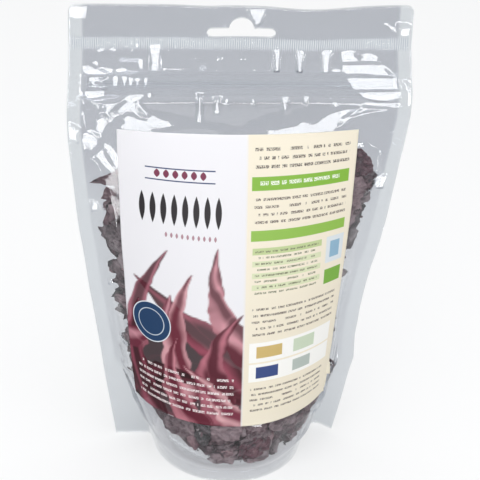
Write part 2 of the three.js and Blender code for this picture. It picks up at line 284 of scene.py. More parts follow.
# Dried dulse, a red seaweed: leathery purple-brown blades, mauve-grey where salt has bloomed on them.
def dulseMaterial():
    material, tree = newMaterial("driedDulse")
    place = addNode(tree, "ShaderNodeTexCoord").outputs["Object"]
    # The tone attribute holds random tone and also painted light and shade: lighter on crease crests, darker
    # in crease valleys, and on the flakes darker at the rims.
    tone = addNode(tree, "ShaderNodeAttribute", attribute_name="tone").outputs["Fac"]
    # Blotches 11 mm across, and grains of salt 2.2 mm across, coarser than real ones so that they show.
    broad = addNode(tree, "ShaderNodeTexNoise", {
        "Vector": place, "Scale": 1 / 0.011, "Detail": 4.0, "Roughness": 0.6})
    mixed = addNode(tree, "ShaderNodeMath", {0: broad, 1: 0.6, 2: -0.12}, operation="MULTIPLY_ADD")
    mixed = addNode(tree, "ShaderNodeMath", {0: tone, 1: 0.55, 2: mixed}, operation="MULTIPLY_ADD")
    colours = addNode(tree, "ShaderNodeValToRGB", {"Fac": mixed})
    stops = colours.color_ramp.elements
    stops[0].position, stops[0].color = 0.14, hexToLinear("#190e13")
    stops[1].position, stops[1].color = 0.8, hexToLinear("#b5999c")
    middle = stops.new(0.42)
    middle.color = hexToLinear("#5d3e46")
    greyed = addNode(tree, "ShaderNodeAttribute", attribute_name="grey").outputs["Fac"]
    colours = addNode(tree, "ShaderNodeHueSaturation", {"Saturation": greyed, "Color": colours})
    fine = addNode(tree, "ShaderNodeTexNoise", {
        "Vector": place, "Scale": 1 / 0.0022, "Detail": 6.0, "Roughness": 0.7})
    salt = addNode(tree, "ShaderNodeMapRange", {"Value": fine, 1: 0.5, 2: 0.72, 3: 0.0, 4: 0.5})
    tints = {0: salt, 6: colours, 7: hexToLinear("#ab9a9c")}
    skin = addNode(tree, "ShaderNodeMix", tints, data_type="RGBA").outputs[2]
    bump = addNode(tree, "ShaderNodeBump", {"Height": fine, "Strength": 0.8, "Distance": 0.0007})
    rough = addNode(tree, "ShaderNodeMapRange", {"Value": fine, 3: 0.38, 4: 0.7})
    look = addNode(tree, "ShaderNodeBsdfPrincipled", {
        "Base Color": skin, "Roughness": rough, "Specular IOR Level": 0.3, "Normal": bump})
    addNode(tree, "ShaderNodeOutputMaterial", {"Surface": look})
    return material


# Coated label paper, offset printed: satin, with a faint tooth. The print's areas are in millimetres of
# the label's own map: along the flat width, then up the height.
greyInk, whiteInk, greenInk, darkInk, blueInk = "#6d635c", "#efe3e4", "#86b83f", "#221d22", "#1d3d63"
inkEdge = 0.12  # half width of the soft edge of the ink
printedLines = [  # left, right, bottom, top, spacing of the lines, their height, colour
    (9, 61, 189, 203, 4.6, 1.7, "#5b524c"),
    (9, 61, 159, 176, 4.2, 1.5, greyInk),
    (10, 46, 119, 146, 3.4, 1.1, "#7c8065"),
    (9, 60, 94, 113, 3.8, 1.3, greyInk),
    (9, 57, 47, 64, 3.4, 1.2, greyInk),
    (-58, 0, 45, 71, 4.3, 1.6, whiteInk),
    (12, 56, 180, 185, 5.0, 2.2, "#f4f8ea"),
]
printedAreas = [  # left, right, bottom, top, colour
    (7.5, 61.5, 178.5, 186, greenInk), (7.5, 61.5, 150.5, 156.5, "#93bf52"),
    (8.5, 48, 142.8, 146.6, "#c3d29a"), (8.5, 48, 136.0, 139.2, "#dde2bd"),
    (8.5, 48, 129.2, 132.4, "#dde2bd"), (8.5, 48, 122.4, 125.6, "#dde2bd"),
    (51, 62, 131, 147, "#dfe6ea"), (51, 62, 118, 127, "#7fb24a"), (8, 60, 79, 91, "#fdfcf8"),
    (8, 60, 67, 78, "#fdfcf8"), (12, 27, 81.5, 88.5, "#d3b877"), (34, 48, 81, 89, "#cfdcc4"),
    (12, 25, 69, 76, "#3d4f86"), (34, 46, 69, 76, "#b9c3bd"), (53.5, 59.5, 134, 144, "#93b7cf"),
    (-50, -12, 188.6, 189.3, "#33426e"), (-50, -12, 182.0, 182.7, "#33426e"),
]
leafRows = [  # left, right, middle, pitch, half width, half height, colour
    (-55, -7, 166, 6.0, 1.7, 9.0, darkInk), (-46, -16, 186, 5.0, 1.6, 2.4, "#7a2f4c"),
    (-40, -10, 151.5, 3.0, 0.7, 1.6, "#b08a94"),
]
discs = [  # middle, radius, colour
    (-48, 96, 12.4, "#dfe6ee"), (-48, 96, 11.8, blueInk), (-48, 96, 8.4, "#c9d4e0"), (-48, 96, 7.9, blueInk),
]


def areaMask(tree, s, z, area):
    outside = []
    for place, low, high in ((s, area[0], area[1]), (z, area[2], area[3])):
        off = addNode(tree, "ShaderNodeMath", {0: place, 1: (low + high) / 2}, operation="SUBTRACT")
        off = addNode(tree, "ShaderNodeMath", {0: off}, operation="ABSOLUTE")
        outside.append(addNode(tree, "ShaderNodeMath", {0: off, 1: (high - low) / 2}, operation="SUBTRACT"))
    far = addNode(tree, "ShaderNodeMath", {0: outside[0], 1: outside[1]}, operation="MAXIMUM")
    return addNode(tree, "ShaderNodeMapRange", {"Value": far, 1: inkEdge, 2: -inkEdge})


# Lines of short bars with gaps and uneven ink.
def brokenLineMask(tree, s, z, block):
    bottom, pitch, tall = block[2], block[4], block[5]
    row = addNode(tree, "ShaderNodeMath", {0: z, 1: 1 / pitch, 2: -bottom / pitch}, operation="MULTIPLY_ADD")
    part = addNode(tree, "ShaderNodeMath", {0: row}, operation="FRACT")
    off = addNode(tree, "ShaderNodeMath", {0: part, 1: 0.5}, operation="SUBTRACT")
    off = addNode(tree, "ShaderNodeMath", {0: off}, operation="ABSOLUTE")
    edges = {1: (tall / 2 + inkEdge) / pitch, 2: (tall / 2 - inkEdge) / pitch}
    line = addNode(tree, "ShaderNodeMapRange", {"Value": off, **edges})
    number = addNode(tree, "ShaderNodeMath", {0: row}, operation="FLOOR")
    along = addNode(tree, "ShaderNodeCombineXYZ", {"X": s, "Y": number})
    along = addNode(tree, "ShaderNodeMapping", {"Vector": along, "Scale": (0.5, 3.7, 1)})
    bars = {"Vector": along, "Scale": 1.0, "Detail": 0.0}
    bars = addNode(tree, "ShaderNodeTexNoise", bars, noise_dimensions="2D")
    bars = addNode(tree, "ShaderNodeMapRange", {"Value": bars, 1: 0.36, 2: 0.4})
    spot = addNode(tree, "ShaderNodeCombineXYZ", {"X": s, "Y": z})
    inking = {"Vector": spot, "Scale": 1.5, "Detail": 1.0}
    inking = addNode(tree, "ShaderNodeTexNoise", inking, noise_dimensions="2D")
    inking = addNode(tree, "ShaderNodeMapRange", {"Value": inking, 1: 0.4, 2: 0.54, 3: 0.15})
    mask = areaMask(tree, s, z, block)
    for factor in (line, bars, inking):
        mask = addNode(tree, "ShaderNodeMath", {0: mask, 1: factor}, operation="MULTIPLY")
    return mask


# A row of upright leaves.
def leafMask(tree, s, z, left, right, middle, pitch, halfWidth, halfHeight):
    part = addNode(tree, "ShaderNodeMath", {0: s, 1: 1 / pitch, 2: -left / pitch}, operation="MULTIPLY_ADD")
    part = addNode(tree, "ShaderNodeMath", {0: part}, operation="FRACT")
    off = addNode(tree, "ShaderNodeMath", {0: part, 1: 0.5}, operation="SUBTRACT")
    off = addNode(tree, "ShaderNodeMath", {0: off}, operation="ABSOLUTE")
    rise = {0: z, 1: 1 / halfHeight, 2: -middle / halfHeight}
    rise = addNode(tree, "ShaderNodeMath", rise, operation="MULTIPLY_ADD")
    square = addNode(tree, "ShaderNodeMath", {0: rise, 1: rise}, operation="MULTIPLY")
    room = {0: square, 1: -halfWidth / pitch, 2: halfWidth / pitch}
    room = addNode(tree, "ShaderNodeMath", room, operation="MULTIPLY_ADD")
    over = addNode(tree, "ShaderNodeMath", {0: room, 1: off}, operation="SUBTRACT")
    leaf = addNode(tree, "ShaderNodeMapRange", {"Value": over, 1: -inkEdge / pitch, 2: inkEdge / pitch})
    area = areaMask(tree, s, z, (left, right, middle - halfHeight, middle + halfHeight))
    return addNode(tree, "ShaderNodeMath", {0: leaf, 1: area}, operation="MULTIPLY")


def discMask(tree, s, z, centreS, centreZ, radius):
    spot = addNode(tree, "ShaderNodeCombineXYZ", {"X": s, "Y": z})
    ends = {0: spot, 1: (centreS, centreZ, 0)}
    reach = addNode(tree, "ShaderNodeVectorMath", ends, operation="DISTANCE").outputs["Value"]
    return addNode(tree, "ShaderNodeMapRange", {"Value": reach, 1: radius + inkEdge, 2: radius - inkEdge})


def labelMaterial():
    material, tree = newMaterial("coatedLabelPaper")
    colour = addNode(tree, "ShaderNodeAttribute", attribute_name="ink").outputs["Color"]
    flat = addNode(tree, "ShaderNodeUVMap", uv_map="print")
    parts = addNode(tree, "ShaderNodeSeparateXYZ", {"Vector": flat}).outputs
    s = addNode(tree, "ShaderNodeMath", {0: parts["X"], 1: 1000.0}, operation="MULTIPLY")
    z = addNode(tree, "ShaderNodeMath", {0: parts["Y"], 1: 1000.0}, operation="MULTIPLY")
    layers = [(areaMask(tree, s, z, area), area[4]) for area in printedAreas]
    layers += [(brokenLineMask(tree, s, z, block), block[6]) for block in printedLines]
    layers += [(leafMask(tree, s, z, *row[:6]), row[6]) for row in leafRows]
    layers += [(discMask(tree, s, z, *disc[:3]), disc[3]) for disc in discs]
    for mask, tint in layers:
        tints = {0: mask, 6: colour, 7: hexToLinear(tint)}
        colour = addNode(tree, "ShaderNodeMix", tints, data_type="RGBA").outputs[2]
    place = addNode(tree, "ShaderNodeTexCoord").outputs["Object"]
    tooth = addNode(tree, "ShaderNodeTexNoise", {"Vector": place, "Scale": 1 / 0.0015, "Detail": 4.0})
    bump = addNode(tree, "ShaderNodeBump", {"Height": tooth, "Strength": 0.06, "Distance": 0.0002})
    look = addNode(tree, "ShaderNodeBsdfPrincipled", {
        "Base Color": colour, "Roughness": 0.5, "Specular IOR Level": 0.09, "Normal": bump})
    addNode(tree, "ShaderNodeOutputMaterial", {"Surface": look})
    return material


# Bare back of the label paper behind its adhesive: matt and slightly mottled.
def backingMaterial():
    material, tree = newMaterial("barePaperBack")
    place = addNode(tree, "ShaderNodeTexCoord").outputs["Object"]
    mottle = addNode(tree, "ShaderNodeTexNoise", {"Vector": place, "Scale": 1 / 0.006, "Detail": 5.0})
    tints = {0: mottle, 6: hexToLinear("#dcd9d6"), 7: hexToLinear("#efedea")}
    colour = addNode(tree, "ShaderNodeMix", tints, data_type="RGBA").outputs[2]
    look = addNode(tree, "ShaderNodeBsdfPrincipled", {"Base Color": colour, "Roughness": 0.7})
    addNode(tree, "ShaderNodeOutputMaterial", {"Surface": look})
    return material


# The panels are a shade greyer than the folded gusset. The zip is extruded LDPE and the ribs are film that
# the hot bar has melted, so both are milkier.
film = filmMaterial("clearPetPeFilm", "#ecedef", 0.005, 0.014, sealedOrPaintedLightTint="#f5f6f7")
gussetLook = filmMaterial("clearGussetFilm", "#fcfcfd", 0.002, 0.008)
zipLook = filmMaterial("clearLdpeZip", "#ffffff", 0.03, 0.01)
ribLook = filmMaterial("clearSealRib", "#fafbfc", 0.05, 0.008)
dulse, paper, labelBack = dulseMaterial(), labelMaterial(), backingMaterial()
print("materials made")

gusset = {  # heights of its seal and its ears, half width of its flat middle, and its grid
    "seal": 7, "ear": 54, "flat": 16, "halfLength": 75, "inset": 0.9, "thickness": 0.8, "wrinkle": 0.8,
    "step": 1.5, "rows": 41,
}
label = {"halfWidth": 65, "bottom": 39, "top": 208, "step": 0.75, "thickness": 0.18, "off": 0.25}


def gussetSealLine(s):
    return gusset["seal"] + (gusset["ear"] - gusset["seal"]) * (np.abs(s) / betweenSeals) ** 3.5


# Creases of the front film: start and end along the flat width and up the height, half width, height.
frontCreases = [
    (84, 219, 68, 217, 1.6, 0.8), (68, 217, 60, 215, 1.8, 0.9), (60, 215, 54, 210, 2.0, 0.8),
    (65, 220, 56, 214, 1.4, 0.6), (75, 270, 82, 263, 1.6, 0.9), (82, 279, 83, 264, 1.6, 0.6),
    (-61, 218, -49, 215, 1.4, 0.8), (-84, 243, -80, 222, 1.6, 0.9), (-80, 196, -73, 180, 2.6, 0.7),
    (80, 196, 74, 180, 2.6, 0.7), (-86, 236, -80, 233, 1.2, 0.6), (-86, 228, -81, 231, 1.2, 0.6),
    (-82, 66, -66, 42, 4.0, 1.2), (-78, 48, -60, 30, 4.5, 1.3), (82, 76, 66, 44, 4.5, 1.4),
    (80, 56, 62, 30, 4.5, 1.6), (70, 32, 48, 16, 4.0, 1.3), (-60, 14, -66, 2, 4.0, 1.0),
    (58, 16, 66, 2, 4.5, 1.2), (76, 24, 60, 8, 4.0, 1.2),
]
# Flat facets that catch the light: slopes along and up, then the corners of a convex outline.
frontFacets = [
    (0, -0.23, [(-78, 248), (-74, 248), (-74, 244), (-76, 243)]),
    (0, -0.23, [(-83, 245), (-78, 245), (-67, 240), (-74, 239), (-82, 239)]),
    (0.34, 0, [(-85, 239), (-82, 239), (-80.5, 225), (-83, 227)]),
    (0.08, -0.24, [(-80, 238), (-69, 238), (-70, 235.5), (-79, 235)]),
    (0.34, 0, [(-80, 235), (-70, 235), (-70, 231.5), (-80, 231.5)]),
    (0, -0.25, [(-81, 231), (-70, 230), (-71, 226), (-80, 224)]),
    (0, -0.26, [(-67, 218), (-57, 228), (-55, 224), (-54, 217)]),
    (0.34, 0, [(-55, 227), (-51, 221), (-49, 217), (-54, 218)]),
    (0.34, 0, [(-72, 217), (-68, 214), (-67, 212), (-71, 204), (-75, 203), (-76, 208)]),
    (0.34, 0, [(-71, 218), (-62, 218), (-60, 217), (-67, 212)]),
    (0.34, 0, [(-82, 222), (-80, 218), (-78, 207), (-81.5, 207)]),
    (0.31, 0, [(-91, 212), (-85, 208), (-83, 206), (-84, 198), (-91, 197)]),
    (0.34, -0.03, [(-82.5, 203), (-79, 206), (-73, 203), (-73, 197), (-78, 189.5), (-81.5, 193)]),
    (0.34, -0.04, [(-78.5, 190), (-73, 197), (-66.5, 182.5)]),
    (0.34, 0, [(-79, 225), (-72, 224), (-72, 218), (-75, 219)]),
    (0, -0.22, [(52, 254), (59, 254), (63, 250), (63, 247), (53, 247)]),
    (0.03, -0.22, [(62, 247), (63, 250), (67, 253), (71, 252), (74, 247)]),
    (0, -0.23, [(53, 247), (74, 247), (80, 239), (55, 240)]),
    (0, -0.24, [(56, 238), (81, 239), (84, 231), (60, 231)]),
    (-0.05, -0.25, [(61, 231), (85, 231), (84, 225), (73, 224), (65, 226)]),
    (0, -0.26, [(65, 224), (84, 222), (84, 219), (66, 221)]),
    (-0.28, 0, [(85, 237), (91, 234), (92, 220), (86, 221)]),
    (-0.2, -0.1, [(60, 199), (68, 199), (77, 192), (79, 182), (75, 170), (60, 165)]),
    (0, -0.23, [(79, 247), (81, 247), (82.5, 242), (81, 242.5)]),
    (-0.38, 0, [(82, 270), (88, 269), (89, 263), (85, 262), (82, 264)]),
    (-0.02, -0.19, [(1, 281), (13, 281), (11, 272), (7, 268)]),
    (0, -0.19, [(-91, 281), (-80.5, 281), (-80, 272), (-82, 269), (-88, 272), (-91, 272)]),
]
# Drop-shaped dents, top to bottom: middle, half width, top, bottom.
frontDrops = [
    (-52.2, 1.8, 249, 242.5), (-44.9, 3.2, 257, 242), (-54.3, 1.4, 258, 255), (-24.9, 0.7, 255, 247),
    (-10.8, 0.7, 255, 247), (1.3, 0.7, 255, 247), (19.3, 2.0, 255, 242.5), (31.4, 2.5, 255, 242.5),
    (45.2, 3.0, 255, 242), (-65.5, 2.0, 239, 232.5), (-60.8, 1.7, 239, 232.5), (-57.4, 1.4, 238, 232.5),
    (-53.7, 1.4, 238, 232), (-49.5, 1.4, 238, 232), (-51.8, 1.5, 228, 224.5), (-47.8, 1.4, 229, 224.5),
    (-21, 1.5, 228, 213), (-11.6, 2.2, 226, 217), (-6.3, 1.5, 226, 221.5), (7.6, 1.5, 226, 221.5),
    (24.7, 1.8, 226, 218.5), (35.9, 1.5, 227, 221.5), (52.1, 1.5, 224, 220.5), (-79.5, 2.6, 160.5, 155),
    (-75, 2.0, 112, 108), (81, 4.2, 178, 169.5), (64, 3.3, 60, 52),
]


# Signed distance outside a convex outline.
def outsideOf(s, z, corners):
    middle = np.mean(corners, 0)
    far = np.full(s.shape, -1e9)
    for (s0, z0), (s1, z1) in zip(corners, corners[1:] + corners[:1]):
        length = math.hypot(s1 - s0, z1 - z0)
        side = ((s - s0) * (z1 - z0) - (z - z0) * (s1 - s0)) / length
        inner = ((middle[0] - s0) * (z1 - z0) - (middle[1] - z0) * (s1 - s0)) / length
        far = np.maximum(far, -side if inner > 0 else side)
    return far


# How far the even film stands in front of the plane between the panels.
def standOff(s, z, facing):
    x = np.sign(s) * lookUp(acrossTable, s, z)
    return lookUp(depthTable, s, z) + facing * (middlePlane(x, z) + ripple(s, z)) + gapAt(s, z)


def addFacets(s, z, total, facets, facing):
    even = standOff(s, z, facing)
    for along, up, corners in facets:
        places = np.array(corners, float)
        placeS, placeZ = places.T
        if (s.max() < placeS.min() or s.min() > placeS.max()
                or z.max() < placeZ.min() or z.min() > placeZ.max()):
            continue
        lift = -(along * placeS + up * placeZ - standOff(placeS, placeZ, facing)).min()
        cover = smooth(0.5 - outsideOf(s, z, corners) / 0.8)
        total = total + cover * (np.maximum(along * s + up * z + lift - even, 0) - total)
    return total


# A dent's facet: its slope up changes with its height, so that each one mirrors the front reflector.
def dropFacet(middle, half, top, bottom):
    narrow = 0.75 * half
    corners = [(middle - half, top), (middle + half, top)]
    corners += [(middle + narrow, bottom), (middle - narrow, bottom)]
    return 0, 0.0013 * (top + bottom) / 2 - 0.55, corners


frontFacets += [dropFacet(*drop) for drop in frontDrops]
backFacets = [(-along, up, [(-s, z) for s, z in corners]) for along, up, corners in frontFacets[1::2]]


def creaseHeight(s, z, creases):
    total = np.zeros_like(s)
    for s0, z0, s1, z1, width, height in creases:
        length = math.hypot(s1 - s0, z1 - z0)
        along = ((s - s0) * (s1 - s0) + (z - z0) * (z1 - z0)) / length**2
        side = np.hypot(s - s0 - np.clip(along, 0, 1) * (s1 - s0), z - z0 - np.clip(along, 0, 1) * (z1 - z0))
        wide = width * (0.45 + 0.75 * np.clip(along, 0, 1))
        total = np.maximum(total, height * np.maximum(0, 1 - side / wide) ** 1.4)
    return total


slack = {  # heights of the film's slack, in even waves and in sharp creases
    "headWaves": 0.5, "headCreases": 0.25, "overZip": 0.5, "bellyWaves": 1.5, "bellyCreases": 0.4,
    "lowCreases": 1.6, "sealBead": 1.1, "underLabel": 0.8,
}


# How far a panel's film stands off its even shape, outwards.
def relief(s, z, facing):
    mirrored = s if facing < 0 else -s * 0.93 + 4
    seed = 11 if facing < 0 else 31
    under = smooth((label["halfWidth"] + 3 - np.abs(s)) / 5) * (facing < 0)
    under = under * smooth((label["top"] + 3 - z) / 5) * smooth((z - label["bottom"] + 3) / 5)
    warpedS = s + 5 * noise(s / 23, z / 17, seed + 1)
    warpedZ = z + 5 * noise(s / 19, z / 25, seed + 2)
    inside = smooth((pouch["halfWidth"] - sealAt(z) - np.abs(s) + 1) / 4)
    inside = inside * smooth((z - gussetSealLine(s)) / 5)
    head = smooth((z - 188) / 14) * smooth((230 - z) / 12)
    overZip = smooth((z - 239) / 3) * smooth((256 - z) / 4)
    belly = smooth((200 - z) / 30)
    low = smooth((80 - z) / 40) * smooth((np.abs(s) - 30) / 25)
    sharp = creased(warpedS / 11, warpedZ / 40, seed + 3) ** 3
    total = head * (slack["headWaves"] * noise(s / 26, z / 30, seed) + slack["headCreases"] * sharp)
    total = total + overZip * slack["overZip"] * creased(warpedS / 10, warpedZ / 34, seed + 4) ** 3
    sharp = creased(warpedS / 12, warpedZ / 22, seed + 6) ** 3
    waves = slack["bellyWaves"] * noise(s / 17, z / 24, seed + 5)
    total = total + belly * (waves + slack["bellyCreases"] * sharp)
    total = total + low * slack["lowCreases"] * creased(warpedS / 16, warpedZ / 15, seed + 7) ** 3
    bead = hump((z - gussetSealLine(s) - 3.2) / 2.2)
    total = total + slack["sealBead"] * (0.35 + 0.9 * noise(s / 14, 0 * z, seed + 9)) * bead
    total = inside * total + creaseHeight(mirrored, z, frontCreases) * (0.35 + 0.65 * inside)
    total = addFacets(s, z, total, frontFacets if facing < 0 else backFacets, facing)
    return total * (1 - under) + under * slack["underLabel"] * noise(s / 36, z / 40, seed + 8)


def holeDistance(s, z):
    middle = hole["bottom"] + hole["slotHeight"] / 2
    end = hole["slotHalf"] - hole["slotHeight"] / 2
    slot = np.hypot(np.maximum(np.abs(s) - end, 0), z - middle) - hole["slotHeight"] / 2
    centre = hole["humpTop"] - hole["humpRadius"]
    arch = np.maximum(np.hypot(s, np.maximum(z - centre, 0)) - hole["humpRadius"], hole["bottom"] - z)
    return np.minimum(slot, arch)


def cornerDistance(s, z):
    radius = pouch["cornerRadius"]
    u = np.maximum(np.abs(s) - (pouch["halfWidth"] - radius), 0)
    v = np.maximum(z - (pouch["height"] - radius), 0)
    return radius - np.hypot(u, v)


panels = {
    "frontStep": 1.1,  # between its points
    "backStep": 1.6,
    "fineFrom": 176,  # height above which the rows are finer, for the flashes round the zip
    "paintedStreakMilk": 14,  # how many times as milky as a seal the painted highlight streak is
}


def panel(name, facing, step):
    columns = int(2 * pouch["halfWidth"] / step) + 1
    low = np.arange(0, panels["fineFrom"], 1.25 * step)
    count = int((pouch["height"] - panels["fineFrom"]) / step / 0.75) + 1
    heights = np.concatenate([low, np.linspace(panels["fineFrom"], pouch["height"], count)])
    rows = len(heights)
    across = np.linspace(-pouch["halfWidth"], pouch["halfWidth"], columns)
    s, z = (a.ravel() for a in np.meshgrid(across, heights))
    faces = gridFaces(columns, rows, flip=facing > 0)
    for distance in (holeDistance, cornerDistance):
        cutAway = distance(s, z) < 0
        faces = faces[~cutAway[faces].all(1)]
        for _ in range(4):
            d = distance(s, z)
            du = (distance(s + 0.01, z) - distance(s - 0.01, z)) / 0.02
            dv = (distance(s, z + 0.01) - distance(s, z - 0.01)) / 0.02
            size = np.maximum(du * du + dv * dv, 1e-6)
            s = np.where(cutAway, s - d * du / size, s)
            z = np.where(cutAway, z - d * dv / size, z)
    used, faces = np.unique(faces, return_inverse=True)
    faces = faces.reshape(-1, 4)
    s, z = s[used], z[used]
    offset = gapAt(s, z) + pouch["cadFilm"] - pouch["film"] / 2 + relief(s, z, facing)
    piece = newMesh(name, filmPoint(s, z, offset, facing), faces)
    sideSeal = smooth((np.abs(s) - pouch["halfWidth"] + sealAt(z)) / 1.2)
    topSeal = smooth((z - pouch["ribsFrom"]) / 1.2) * smooth((pouch["ribsTo"] - z) / 1.2)
    footSeal = smooth((gussetSealLine(s) - z) / 1.2)
    sealed = np.maximum(np.maximum(sideSeal, topSeal), footSeal)
    # A painted highlight: a milky streak on the front film below the heap, to the left, carried in the seal
    # attribute.
    paintedHighlightStreak = hump((z - 23.8 + 0.37 * (s + 34)) / 1.1) * smooth((s + 38) / 4) * smooth((-s - 6) / 18)
    setAttribute(piece, "seal", sealed + panels["paintedStreakMilk"] * paintedHighlightStreak * (facing < 0))
    # Lighter tint in the seals, and painted light: the film made clearer towards the bottom, below 196 mm.
    setAttribute(piece, "sealOrPaintedLight", np.maximum(sealed, 0.55 * smooth((196 - z) / 50)))
    addWall(piece, "filmThickness", pouch["film"])
    piece.data.materials.append(film)
    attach(piece, "root")
    return piece


frontFilm = panel("front_film", -1, panels["frontStep"])
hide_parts("front_panel")
backFilm = panel("back_film", 1, panels["backStep"])
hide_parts("back_panel")
print("panels made")


def gussetFilm():
    columns = int(2 * gusset["halfLength"] / gusset["step"]) + 1
    across = np.linspace(-gusset["halfLength"], gusset["halfLength"], columns)
    inner = np.linspace(-1, 1, gusset["rows"])
    rows = np.concatenate([[-1.5, -1.25], inner, [1.25, 1.5]])
    s, m = np.meshgrid(across, rows)
    sealLine = gussetSealLine(s)
    room = np.clip((betweenSeals - 5.5 - np.abs(s)) / 9, 0, 1)
    skirt = np.clip(60 * (1 - room ** (2 / 3)), 0, sealLine - 2)
    down = np.clip((np.abs(m) - 1) / 0.5, 0, 1)
    height = sealLine + (skirt - sealLine) * down
    points = filmPoint(s, height, -gusset["inset"] * np.ones_like(s), 1)
    flat = points[..., 1] - middlePlane(points[..., 0], points[..., 2]) - ripple(s, height)
    rise = np.clip((np.abs(s) - gusset["flat"]) / (betweenSeals - gusset["flat"]), 0, 1) ** 1.6
    fold = gusset["thickness"] / 2 + (gusset["ear"] - gusset["thickness"] / 2) * rise
    settled = smooth((1 - np.abs(m)) / 0.5)
    z = np.where(np.abs(m) >= 1, height, sealLine + (fold - sealLine) * settled)
    z = z + gusset["wrinkle"] * noise(s / 9, m * 5, 77) * smooth((1 - np.abs(m)) / 0.3)
    y = np.where(np.abs(m) >= 1, np.sign(m) * flat, m * flat)
    x = points[..., 0]
    y = y + middlePlane(x, z)
    piece = newMesh("gusset_film", np.stack([x, y, z], -1).reshape(-1, 3), gridFaces(columns, len(rows)))
    setAttribute(piece, "seal", np.clip((np.abs(m) - 0.98) / 0.05, 0, 1).ravel())
    addWall(piece, "filmThickness", pouch["film"])
    piece.data.materials.append(gussetLook)
    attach(piece, "root")
    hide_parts("bottom_gusset")


gussetFilm()
print("gusset made")

zipStrip = {
    "halfLength": 80, "halfHeight": 7, "sheet": 0.25, "ridge": 0.8, "thick": 0.8, "crushed": 5, "off": 0.12,
    "sections": 161, "whiteTip": 8, "whiteSheet": 0.2,
}


# Section of a strip: depth behind the film, height from the zip's middle, and 1 at a ridge's tip.
def zipProfile(centres):
    back = pouch["gap"] + pouch["cadFilm"] - pouch["film"] + pouch["zipRoom"] - zipStrip["off"]
    front = back - zipStrip["sheet"]
    half, edge = zipStrip["thick"] / 2, zipStrip["halfHeight"]
    outline = [(back, -edge, 0), (back, edge, 0), (front, edge, 0)]
    for centre in sorted(centres, reverse=True):
        above, below = centre + half, centre - half
        outline += [(front, above, 0), (front, above, 1), (front, below, 1), (front, below, 0)]
    return outline + [(front, -edge, 0)]


def zipStripPiece(name, facing, centres, replaced):
    profile = zipProfile(centres)
    along = np.linspace(-zipStrip["halfLength"], zipStrip["halfLength"], zipStrip["sections"])
    crushed = smooth((zipStrip["halfLength"] - np.abs(along)) / zipStrip["crushed"])
    points = []
    for depth, rise, tip in profile:
        offset = depth - zipStrip["ridge"] * tip * crushed
        height = pouch["zipHeight"] + rise * (0.75 + 0.25 * crushed)
        room = gapAt(along, height) - pouch["gap"] + pouch["cadFilm"]
        offset = (offset - pouch["gap"]) * room / (pouch["zipRoom"] + pouch["cadFilm"]) + pouch["gap"]
        points.append(filmPoint(along, height, offset, facing))
    points = np.stack(points, 1).reshape(-1, 3)
    count = len(profile)
    faces = []
    for i in range(len(along) - 1):
        for k in range(count):
            a, b = i * count + k, i * count + (k + 1) % count
            quad = [a, b, b + count, a + count]
            faces.append(quad if facing < 0 else quad[::-1])
    first, last = list(range(count)), list(range(len(points) - count, len(points)))
    faces += [first[::-1], last] if facing < 0 else [first, last[::-1]]
    piece = newMesh(name, points, faces, smoothShade=False)
    whiteness = [zipStrip["whiteTip"] if tip else zipStrip["whiteSheet"] for _, _, tip in profile]
    setAttribute(piece, "seal", np.tile(whiteness, len(along)))
    piece.data.materials.append(zipLook)
    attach(piece, "root")
    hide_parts(replaced)


zipStripPiece("zip_groove_strip", -1, [-1.3, 1.3], "zip_groove")
zipStripPiece("zip_tongue_strip", 1, [0], "zip_tongue")
print("zip made")


# Pattern of the label, as linear colours over its grid: broad pointed leaves from its lower edge.
leaves = [
    # centreline from root to tip (three points), half width at root and tip, dark and light colours
    ((-70, 62), (-40, 86), (4, 66), 24, 18, "#2c0b15", "#5f1f30"),
    ((6, 38), (-30, 62), (-70, 50), 20, 16, "#350f1b", "#6d2638"),
    ((6, 66), (-14, 96), (-58, 122), 13, 3, "#45111f", "#97475a"),
    ((6, 84), (-16, 112), (-10, 146), 10, 2, "#5f1b2d", "#cf8e99"),
    ((-62, 66), (-64, 104), (-38, 142), 11, 2, "#531627", "#b36a7a"),
    ((-30, 60), (-40, 98), (-24, 130), 10, 2, "#6a2234", "#d9a0a8"),
    ((-66, 44), (-40, 78), (-10, 62), 9, 3, "#26080f", "#5b1f2e"),
    ((-8, 50), (-20, 84), (4, 108), 10, 2, "#561829", "#b96f7e"),
    ((-48, 38), (-68, 76), (-56, 108), 9, 2, "#3d0f1c", "#8f4356"),
    ((-20, 38), (-44, 62), (-32, 90), 9, 2, "#621e30", "#c98490"),
    ((2, 38), (-6, 60), (-28, 74), 8, 2, "#7b3245", "#e2b0b5"),
    ((-64, 80), (-40, 92), (-36, 116), 6, 2, "#6a2438", "#cb8f9b"),
]


